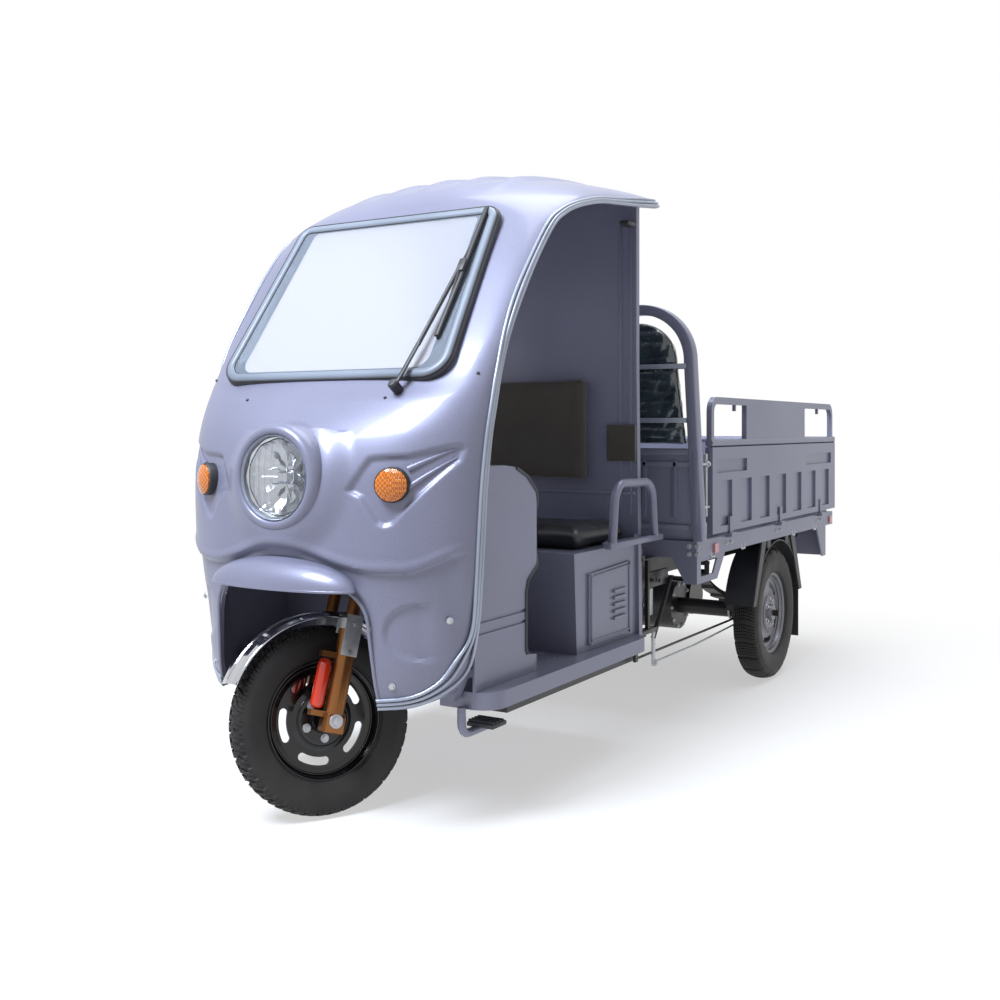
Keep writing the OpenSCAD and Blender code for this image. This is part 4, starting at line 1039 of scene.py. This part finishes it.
dome = [(0.0975 * math.sin(math.radians(a * 3)) / math.sin(math.radians(30)),
         0.019 - 0.21 * (1 - math.cos(math.radians(a * 2.25)))) for a in range(11)]
turned(bm, [(max(r, 0.0004), x) for r, x in dome] + [(max(r, 0.0004), x - 0.003) for r, x in reversed(dome)], 96, LAMP)
piece("headlight_glass", bm, "fluted_glass", "chassis", 50, ["headlight_lens"])
print("headlight")

# %% [markdown]
# Each indicator's lens is the solid's own. It gets the black bezel that holds it in the recess.

# %% Indicator bezels
for s, name in ((1, "left"), (-1, "right")):
    bm = bmesh.new()
    turned(bm, [(0.0383, -0.012), (0.0383, 0.0105), (0.0395, 0.012), (0.041, 0.0105), (0.0416, 0.006),
                (0.0416, -0.012)], 56, BLINKER[s] @ Matrix.Rotation(math.radians(-90), 4, "Y"), closed=True)
    piece("indicator_bezel_" + name, bm, "black_plastic", "chassis", 40)
print("bezels")

# %% [markdown]
# The cushion and the back pad are foam in a tight cover. A bevelled block looks like a brick, so a remeshed block,
# slightly smaller than its solid, is blown up by cloth pressure with gravity off. Each point's travel is capped and
# kept inside the solid's box, so the pad rests flat on what carries it and clears its neighbours.

# %% Blow up a pad
def settle(obj, cap, lo, hi):
    # swell the mesh for 20 frames, cap each point's travel, and keep every point inside the box
    before = [v.co.copy() for v in obj.data.vertices]
    cloth = obj.modifiers.new("cloth", "CLOTH")
    cloth.settings.use_pressure = True
    cloth.settings.uniform_pressure_force = 4
    cloth.settings.quality = 4
    cloth.settings.effector_weights.gravity = 0
    for f in range(1, 21):
        bpy.context.scene.frame_set(f)
    evaluated = obj.evaluated_get(bpy.context.evaluated_depsgraph_get())
    after = [v.co.copy() for v in evaluated.data.vertices]
    obj.modifiers.remove(cloth)
    bpy.context.scene.frame_set(1)
    for v, a, b in zip(obj.data.vertices, before, after):
        step = b - a
        if step.length > cap:
            step *= cap / step.length
        p = a + step
        v.co = [min(max(p[i], lo[i]), hi[i]) for i in range(3)]


def inflate(name, mesh, lo, hi, cap, voxel):
    # even the mesh out, swell it, and smooth what pressure left
    obj = linked(name, mesh)
    remesh = obj.modifiers.new("remesh", "REMESH")
    remesh.mode = "VOXEL"
    remesh.voxel_size = voxel
    apply_modifiers(obj)
    settle(obj, cap, lo, hi)
    smooth = obj.modifiers.new("smooth", "SMOOTH")
    smooth.iterations = 4
    apply_modifiers(obj)
    return obj


print("inflate ready")

# %% [markdown]
# No point of the seat cushion may travel more than 14 mm, and none of the thinner back pad more than 8 mm. Both start
# from their solid's box, which is read from the frame, so they follow the solids if those are moved.

# %% Seat cushion and back pad
def dress_pad(obj, node, material):
    # its finish, the body it rides, and the solid that it stands for
    obj.data.materials.clear()
    obj.data.materials.append(M[material])
    obj.data.shade_smooth()
    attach(obj, "chassis")
    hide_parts(node)


def pad(name, node, material, cap, inset, round_by):
    # a block smaller than the solid by its insets, rounded and blown up
    lo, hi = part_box(node)
    bm = bmesh.new()
    bmesh.ops.create_cube(bm, size=1)
    size = [hi[i] - lo[i] - 2 * inset[i] for i in range(3)]
    bmesh.ops.transform(bm, matrix=Matrix.Translation((lo + hi) / 2) @ Matrix.Diagonal((*size, 1)), verts=bm.verts)
    bmesh.ops.bevel(bm, geom=list(bm.edges), offset=round_by, segments=3, profile=0.5, affect="EDGES", material=-1)
    obj = inflate(name, as_mesh(bm, name), lo, hi, cap, voxel=0.008)
    dress_pad(obj, node, material)


pad("seat_cushion_padded", "seat_cushion", "black_vinyl", 0.014, (0.012, 0.012, 0.012), 0.02)
pad("back_pad_padded", "backrest_pad", "grey_cloth", 0.008, (0.005, 0.006, 0.005), 0.006)
print("padded pieces")

# %% [markdown]
# The bed's head is a sheet panel under a tall hoop, a deep and narrow band of bent steel. The band could be a curve
# with a bevel profile. Made as four rows of quads with softened edges, it keeps crisp corners where its feet meet the
# bed. The panel and its pressed folds are blocks inside the hoop.

# %% Hoop and headboard
HEAD_Y = 1296  # the bed's front face, measured from the front axle
HOOP_HALF = 519  # from the middle to the hoop's outer edge
BAND = 34  # the hoop's width seen from behind


def hoop_points(inset, n=12):
    # the hoop's outline seen from the front, measured in from its outer edge
    half, low = HOOP_HALF - inset, 903
    left, right = arc(298, 1188, 190 - inset, 0, 90, n), arc(-298, 1188, 190 - inset, 90, 180, n)
    return [(half, low)] + left + right + [(-half, low)]


bm = bmesh.new()
corners = [(HEAD_Y - 44, 0), (HEAD_Y - 44, BAND), (HEAD_Y - 1, 0), (HEAD_Y - 1, BAND)]
loops = [[bm.verts.new(at(x, y, z)) for x, z in hoop_points(inset, 16)] for y, inset in corners]
for line in loops:
    # the hoop's feet stand on the bed's frame
    for v in (line[0], line[-1]):
        v.co.z = 0.601
for a, b in ((0, 1), (1, 3), (3, 2), (2, 0)):
    for k in range(len(loops[0]) - 1):
        bm.faces.new((loops[a][k], loops[a][k + 1], loops[b][k + 1], loops[b][k]))
for k in (0, -1):
    bm.faces.new([loops[i][k] for i in (0, 1, 3, 2)])
bmesh.ops.recalc_face_normals(bm, faces=bm.faces)
edges = [e for e in bm.edges if len(e.link_faces) == 2 and e.calc_face_angle() > 0.9]
bmesh.ops.bevel(bm, geom=edges, offset=0.0035, segments=3, profile=0.5, affect="EDGES", material=-1)
block(bm, at(-489, HEAD_Y - 22, 601), at(489, HEAD_Y - 8, 903), 0.002)
for z in (879, 841, 635):
    block(bm, at(-469, HEAD_Y - 30, z), at(469, HEAD_Y - 20, z + 18), 0.003)
for s in (1, -1):
    for x in (300, 408):
        side_block(bm, s, (x, x + 16), (HEAD_Y - 30, HEAD_Y - 20), (675, 865), 0.003)
    side_block(bm, s, (483, 505), (HEAD_Y - 45, HEAD_Y - 40), (655, 895), 0.002)
piece("headboard_hoop", bm, "painted_steel", "chassis", 35, ["headboard"])
print("hoop", BAND, "mm wide")

# %% [markdown]
# The rain cover is quilted film, rolled and stuffed inside the hoop. It is blown up as the pads are, inside the hoop's
# outline, and then drawn in along wandering level folds and under two bands, because film creases and foam doesn't.

# %% Folded cover
ROLL = 0.038  # height of one fold
BANDS = (0.994, 1.170)  # heights of the two bands that hold it


def folded_cover():
    # the solid's box, let out to the hoop's narrower band
    lo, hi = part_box("folded_cover")
    lo, hi = lo - Vector((0.02, 0, 0)), hi + Vector((0.02, 0, 0.018))
    bm = bmesh.new()
    rings = [[bm.verts.new(at(x, y, z - 4)) for x, z in hoop_points(52)] for y in (HEAD_Y - 58, HEAD_Y - 18)]
    for v in rings[0][:1] + rings[0][-1:] + rings[1][:1] + rings[1][-1:]:
        v.co.z = lo.z + 0.008
    skin(bm, rings)
    bmesh.ops.recalc_face_normals(bm, faces=bm.faces)
    return as_mesh(bm, "folded_cover_padded"), lo, hi


def draw_in(obj, lo, hi):
    # level seams that wander, two bands that bite in, and small waves for the creases
    middle = (lo.y + hi.y) / 2
    for v in obj.data.vertices:
        z = v.co.z - lo.z
        z += 0.007 * math.sin(v.co.x * 9 + v.co.z * 31) + 0.004 * math.sin(v.co.x * 23 - v.co.z * 47)
        seam = abs((z / ROLL) % 1 - 0.5) * 2
        band = min(abs(v.co.z - b) for b in BANDS)
        pull = 0.34 * max(0, seam - 0.45) / 0.55 + 0.3 * (1 - ease(band, 0.008, 0.03))
        wave = 0.07 * math.sin(v.co.x * 61 + v.co.z * 23) + 0.06 * math.sin(v.co.x * 137 - v.co.z * 71)
        v.co.y = middle + (v.co.y - middle) * (0.94 - pull + wave)
        v.co = [min(max(v.co[i], lo[i]), hi[i]) for i in range(3)]


mesh, lo, hi = folded_cover()
cover = inflate("folded_cover_padded", mesh, lo, hi, 0.007, 0.0075)
draw_in(cover, lo, hi)
dress_pad(cover, "folded_cover", "quilted_film")
bm = bmesh.new()
half = HOOP_HALF - 50
for z in BANDS:
    for y in (lo.y + 0.004, hi.y - 0.004):
        block(bm, Vector((-half * MM, y - 0.0012, z - 0.008)), Vector((half * MM, y + 0.0012, z + 0.008)), 0.0006)
piece("cover_bands", bm, "silver_trim", "chassis")
print("folded cover")

# %% [markdown]
# Wheels are pressed discs: raised beads run round the disc and its rim, and nuts hold it. The solids carry the discs,
# so only beads and nuts are added, each riding the wheel that it turns with.

# %% Wheel nuts and beads
def around(matrix, radius, count, x, out, bm, size):
    # bolts on a circle round an axle
    for k in range(count):
        a = math.tau * k / count
        place = matrix @ Vector((x, radius * math.cos(a), radius * math.sin(a)))
        bolt(bm, place, (matrix.to_3x3() @ Vector(out)).normalized(), size)


for name, matrix, face, body in (("front", FRONT_AXLE, 0.014, "front_wheel"),
                                 ("rear_left", REAR_AXLE["left"], 0.022, "rear_left_wheel"),
                                 ("rear_right", REAR_AXLE["right"], 0.022, "rear_right_wheel")):
    bm = bmesh.new()
    around(matrix, 0.047, 5, face, (1, 0, 0), bm, 0.0075)
    piece(name + "_wheel_nuts", bm, "zinc_plate", body)
    bm = bmesh.new()
    for radius, x, size in ((0.1465, 0.0255, 0.0032), (0.134, face - 0.006, 0.003), (0.0665, face - 0.004, 0.0026)):
        turns = [math.tau * k / 8 for k in range(8)]
        section = [(radius + size * math.cos(w), x + size * math.sin(w)) for w in turns]
        turned(bm, section, 72, matrix, closed=True)
    finish, slot = ("rim_black", "black_steel") if name == "front" else ("grey_wheel", "grey_wheel")
    piece(name + "_rim_beads", bm, finish, body, 60)
print("wheels")

# %% [markdown]
# The fork's legs carry plated clamps that hold the mudguard, gold feet round the spindle, and a red damper on each.
# Their shapes are made straight along one leg's axis, and the leg's matrix leans and turns them with the fork.

# %% Fork
bm, feet, dampers = bmesh.new(), bmesh.new(), bmesh.new()
UP = Matrix.Rotation(math.radians(-90), 4, "Y")
for s in (1, -1):
    leg = STEER @ Matrix.Translation((s * 0.074, -0.034, 0))
    turned(bm, [(0.0262, 0.226), (0.0285, 0.226), (0.0285, 0.252), (0.0165, 0.254), (0.0165, 0.249), (0.0262, 0.249)],
           40, leg @ UP, closed=True)
    for low, high in (((0.0275, -0.024, 0.160), (0.031, 0.02, 0.262)),
                      ((-0.0305, -0.024, 0.214), (-0.027, 0.02, 0.262))):
        block(bm, Vector((min(s * low[0], s * high[0]), low[1], low[2])),
              Vector((max(s * low[0], s * high[0]), high[1], high[2])), 0.001, leg)
    for z in (0.168, 0.24):
        bolt(bm, leg @ Vector((s * 0.0305, 0, z)), (leg.to_3x3() @ Vector((s, 0, 0))).normalized(), 0.005)
    bolt(bm, leg @ Vector((s * 0.029, 0, 0)), (leg.to_3x3() @ Vector((s, 0, 0))).normalized(), 0.012)
    inner, outer = sorted((-s * 0.024, s * 0.029))
    block(feet, Vector((inner, -0.026, -0.030)), Vector((outer, 0.026, 0.016)), 0.006, leg)
    turned(dampers, [(0.0004, 0.004), (0.009, 0.004), (0.015, 0.009), (0.017, 0.017), (0.017, 0.110), (0.015, 0.119),
                     (0.010, 0.1255), (0.0004, 0.127)], 32, leg @ Matrix.Translation((0, -0.048, 0.020)) @ UP)
piece("fork_clamps", bm, "zinc_plate", "steering")
piece("fork_feet", feet, "gold_anodise", "steering")
piece("damper_bodies", dampers, "red_spring", "steering", 40, ["red_dampers"])
print("fork")

# %% [markdown]
# The front mudguard is pressed from thin sheet, so its edges are rolled and a ridge runs along its middle. Three bars
# half sunk in the solid's skin give both their highlights.

# %% Mudguard edges
bm = bmesh.new()
for x, r, size in ((-0.0485, 0.2545, 0.0033), (0.0485, 0.2545, 0.0033), (0, 0.2655, 0.0045)):
    turns = [math.radians(a) for a in range(21, 170, 3)]
    line = [FRONT_AXLE @ Vector((x, r * math.cos(a), r * math.sin(a))) for a in turns]
    tube(bm, line, size, 8)
piece("mudguard_edges", bm, "chrome_plate", "steering", 50)
print("mudguard edges")

# %% [markdown]
# Under the bed, U-bolts clamp each leaf spring to the axle tube, the differential's cover is bolted round its rim and
# the motor's housing has cooling ribs. They show from below and behind.

# %% U-bolts and motor ribs
AXLE_Y, HALF_BOLT = 2115, 37  # the rear axle's place, and half a U-bolt's width
bm = bmesh.new()
for s in (1, -1):
    for x in (308, 352):
        for y in (AXLE_Y - HALF_BOLT, AXLE_Y + HALF_BOLT):
            block(bm, at(s * x - 12, y - 9, 322), at(s * x + 12, y + 9, 328), 0.001)
        bend = [at(s * x, y, z) for y, z in arc(AXLE_Y, 252, HALF_BOLT, 180, 360, 12)]
        ends = [at(s * x, AXLE_Y - HALF_BOLT, 334)], [at(s * x, AXLE_Y + HALF_BOLT, 334)]
        tube(bm, ends[0] + bend + ends[1], 0.005, 10)
around(Matrix.Translation(at(0, AXLE_Y, 252.5)), 0.086, 10, 0.090, (1, 0, 0), bm, 0.006)
piece("spring_bolts", bm, "zinc_plate", "chassis")
bm = bmesh.new()
for x in (-50, -32, -14, 46, 64, 82):
    turned(bm, [(0.0745, -0.003), (0.078, -0.003), (0.078, 0.003), (0.0745, 0.003)], 56,
           Matrix.Translation(at(x, 2265, 272.5)), closed=True)
piece("motor_ribs", bm, "black_steel", "chassis")
print("axle parts")

# %% [markdown]
# The bed is bolted together and used hard: bolts in its corner plates and hinges, rope hooks under its edge, and a
# draw latch that holds each side board to the hoop. All are zinc plated, so they catch the light along the paint.

# %% Bed hardware
bm = bmesh.new()
for s in (1, -1):
    for x, y, z in ((472, 1256, 585), (500, 1256, 585), (472, 1256, 560), (500, 1256, 560)):
        bolt(bm, at(s * x, y - 0.2, z), (0, -1, 0), 0.006)
    # two bolts on each hinge, at these shares of the board's length
    for k in (0.14, 0.5, 0.86):
        for d in (-24, 24):
            bolt(bm, at(s * 499.2, 1336 + 1540 * k + d, 575), (s, 0, 0), 0.0055)
    for y in (1400, 1700, 2300, 2600):
        hook = [at(s * x, y + d, z) for x, d, z in ((496, -18, 560), (498, -18, 548), (499, -12, 541), (499, 12, 541),
                                                    (498, 18, 548), (496, 18, 560))]
        tube(bm, hook, 0.0035, 8)
    # the latch at the front end of each side board
    side_block(bm, s, (484, 496), (1348, 1362), (676, 884), 0.002)
    side_block(bm, s, (480, 500), (1297, 1372), (704, 712), 0.002)
    side_block(bm, s, (480, 500), (1297, 1372), (846, 854), 0.002)
    bolt(bm, at(s * 500, 1355, 850), (s, 0, 0), 0.007)
piece("bed_hardware", bm, "zinc_plate", "chassis")
print("bed hardware")

# %% [markdown]
# Each tail lamp's housing holds three lens fields: red for tail and brake, amber for the indicator, clear for reverse.

# %% Tail lamp lenses
for name, material, low, high in (("red", "red_lens", 388, 447), ("amber", "amber_lens", 344, 386),
                                  ("clear", "lamp_lens", 322, 342)):
    bm = bmesh.new()
    for s in (1, -1):
        side_block(bm, s, (low, high), (2879, 2881.6), (447, 513), 0.001)
    piece("tail_lens_" + name, bm, material, "chassis")
print("tail lenses")

# %% [markdown]
# At the seat box's rear corner, upright bars and a carrier hold the parking brake's drop arm. A thin rod runs from it
# back to the axle, and a brace goes up to the bed. Flat bar is blocks, and the rods are tubes.

# %% Brake linkage
bm = bmesh.new()
for s in (1, -1):
    for y in (1026, 1082):
        side_block(bm, s, (393, 405), (y, y + 14), (330, 596 if y < 1050 else 552), 0.0015)
    side_block(bm, s, (380, 408), (1024, 1150), (322, 336), 0.002)
    side_block(bm, s, (386, 400), (1096, 1256), (462, 512), 0.003)
    tube(bm, [at(s * 398, 1136, 300), at(s * 404, 1262, 478)], 0.009, 8, flat=0.5)
    for y, z in ((1120, 487), (1168, 480), (1033, 560), (1033, 420)):
        bolt(bm, at(s * 405, y, z), (s, 0, 0), 0.006)
piece("linkage_bars", bm, "black_steel", "chassis")
bm = bmesh.new()
tube(bm, [at(398, 1138, 336), at(398, 1138, 212)], 0.0065, 10)
tube(bm, [at(398, 1138, 222), at(394, 1500, 219), at(386, 2070, 232)], 0.0032, 8)
bolt(bm, at(404, 1138, 222), (1, 0, 0), 0.008)
block(bm, at(378, 1104, 372), at(392, 1150, 458), 0.002)
piece("linkage_rod", bm, "zinc_plate", "chassis")
print("linkage")

# %% [markdown]
# The step under the floor's front edge is a bent tube with a ribbed rubber pad pushed over its end.

# %% Step
bm = bmesh.new()
bend = [(88 - 30 * math.cos(math.radians(a)), 262 - 30 * math.sin(math.radians(a))) for a in (20, 45, 70)]
step = [(58, 300), (58, 262)] + bend + [(92, 232), (176, 232)]
tube(bm, [at(372, y, z) for y, z in step], 0.0105, 12)
piece("pedal_loop", bm, "painted_steel", "chassis", 50, ["pedal_step"])
bm = bmesh.new()
block(bm, at(350, 112, 240), at(428, 178, 252), 0.004)
for y in (118, 132, 146, 160):
    block(bm, at(352, y, 251), at(426, y + 7, 257), 0.0015)
piece("pedal_rubber", bm, "black_rubber", "chassis")
print("step")

# %% [markdown]
# The seat box's cover has a raised border and a screw at each corner, and the floor a field of short crossed bars
# against slipping. Bars this small would be lost in a bump, but as blocks they catch the light.

# %% Access panel and floor tread
bm = bmesh.new()
border = [at(408, y, z) for y, z in ((680, 362), (680, 545), (934, 556), (934, 362), (680, 362))]
tube(bm, along_line(border, 0.03)[:-1], 0.0035, 8, True)
for y, z in ((676, 356), (938, 356), (676, 550), (938, 560)):
    bolt(bm, at(407, y, z), (1, 0, 0), 0.0045)
piece("access_panel_border", bm, "painted_steel", "chassis", 50)
bm = bmesh.new()
for i in range(15):
    for j in range(5):
        x, y = -350 + 50 * i, 428 + 32 * j + (16 if i % 2 else 0)
        turn = Matrix.Translation(at(x, y, 335)) @ Matrix.Rotation(math.radians(45 if (i + j) % 2 else -45), 4, "Z")
        block(bm, Vector((-0.012, -0.003, 0)), Vector((0.012, 0.003, 0.0022)), 0.001, turn)
piece("floor_tread", bm, "painted_steel", "chassis")
print("panel and tread")

# %% [markdown]
# Each grab rail is a tall hoop of tube on a flat bar, and the bar runs on past the rear wall. The hoop's line is
# straights joined by quarter bends, as a tube bender makes it.

# %% Grab rails
bm = bmesh.new()
for s in (1, -1):
    x = s * 429
    turns = [math.radians(a) for a in range(12, 85, 12)]
    hoop = [(772, 630), (788, 752)] + [(848 - 60 * math.cos(a), 746 + 60 * math.sin(a)) for a in turns]
    hoop += [(990, 803)] + [(1003 + 58 * math.sin(a), 746 + 57 * math.cos(a)) for a in turns] + [(1076, 630)]
    tube(bm, [at(x, p.x, p.y) for p in along_line([(y, z, 0) for y, z in hoop], 20)], 0.013, 14)
    side_block(bm, s, (417, 441), (742, 1120), (618.3, 636), 0.003)
    side_block(bm, s, (396.5, 418), (770, 999), (618.3, 635), 0.002)
    for y in (790, 980):
        bolt(bm, at(s * 406, y, 635), (0, 0, 1), 0.006)
piece("grab_rail_hoops", bm, "painted_steel", "chassis", 50, ["grab_rails"])
print("grab rails")

# %% [markdown]
# The camera stands at the photograph's place, worked out from the wheels and the bed. A shift frames the picture, so
# that upright edges stay upright.

# %% Camera
camera = linked("camera", bpy.data.cameras.new("camera"))
camera.location = (1.876, -3.598, 0.969)
camera.rotation_euler = (math.radians(90), 0, math.radians(31.15))
camera.data.lens = 41.4
camera.data.sensor_width = 36
camera.data.shift_y = -0.072
bpy.context.scene.camera = camera
print("camera lens", camera.data.lens, "mm")

# %% [markdown]
# Two big soft lamps, a cool key in front and above and a fainter one overhead, model the pressed forms. The world is
# white where the camera, a reflection or the glass looks at it, and dim as a light, so nothing is washed out.

# %% Lamps and world
def area(name, place, target, size, watts, tint):
    # a soft square lamp that looks at its target
    light = bpy.data.lights.new(name, "AREA")
    light.shape, light.size, light.energy = "SQUARE", size, watts
    light.color = srgb(tint)[:3]
    obj = linked(name, light)
    obj.location = place
    obj.rotation_euler = (Vector(target) - Vector(place)).to_track_quat("-Z", "Y").to_euler()


area("key", (-0.8, -4.3, 5.0), (0, -1.0, 0.8), 2.2, 560, "#e9f1ff")
area("top", (0.4, 0.6, 5.2), (0, 0.2, 0.5), 3.4, 190, "#f4f8ff")

world = bpy.data.worlds.new("studio")
bpy.context.scene.world = world
world.use_nodes = True
world.node_tree.nodes.clear()
path = add(world.node_tree, "LightPath")
seen = add(world.node_tree, "Math", {0: path.outputs["Is Camera Ray"], 1: path.outputs["Is Glossy Ray"]},
           operation="MAXIMUM")
seen = add(world.node_tree, "Math", {0: seen.outputs[0], 1: path.outputs["Is Transmission Ray"]}, operation="MAXIMUM")
level = between(world.node_tree, seen.outputs[0], 0.24, 1.0)
sky = add(world.node_tree, "Background", {"Color": srgb("#ffffff"), "Strength": level})
add(world.node_tree, "OutputWorld", {"Surface": sky.outputs[0]})
print("lamps", len(bpy.data.lights))

# %% [markdown]
# The floor is pale paper that keeps the shadow near the wheels and fades to the background's white further out.

# %% Floor
floor_material, tree, coords = start("pale_floor")
shade = add(tree, "BsdfDiffuse", {"Color": mixed(tree, speckle(tree, coords, 1.5), srgb("#f2f2f2"), srgb("#f7f7f7"))})
white = add(tree, "Emission", {"Color": srgb("#ffffff"), "Strength": 1.0})
span = add(tree, "VectorMath", {0: coords}, operation="LENGTH").outputs["Value"]
away = add(tree, "MapRange", {"Value": span, "From Min": 0.9, "From Max": 2.9, "To Min": 0.5, "To Max": 1.0},
           interpolation_type="SMOOTHSTEP")
floor_mix = add(tree, "MixShader", {0: away.outputs["Result"]})
tree.links.new(shade.outputs[0], floor_mix.inputs[1])
tree.links.new(white.outputs[0], floor_mix.inputs[2])
add(tree, "OutputMaterial", {"Surface": floor_mix.outputs[0]})
bm = bmesh.new()
bmesh.ops.create_grid(bm, x_segments=2, y_segments=2, size=14)
floor = linked("floor", as_mesh(bm, "floor"))
floor.location = (0, 0, -0.0005)
floor.data.materials.append(floor_material)

bpy.context.scene.view_settings.view_transform = "Standard"
print("stage set")

# %% [markdown]
# Here the build ends.

# %% The end
print("done")
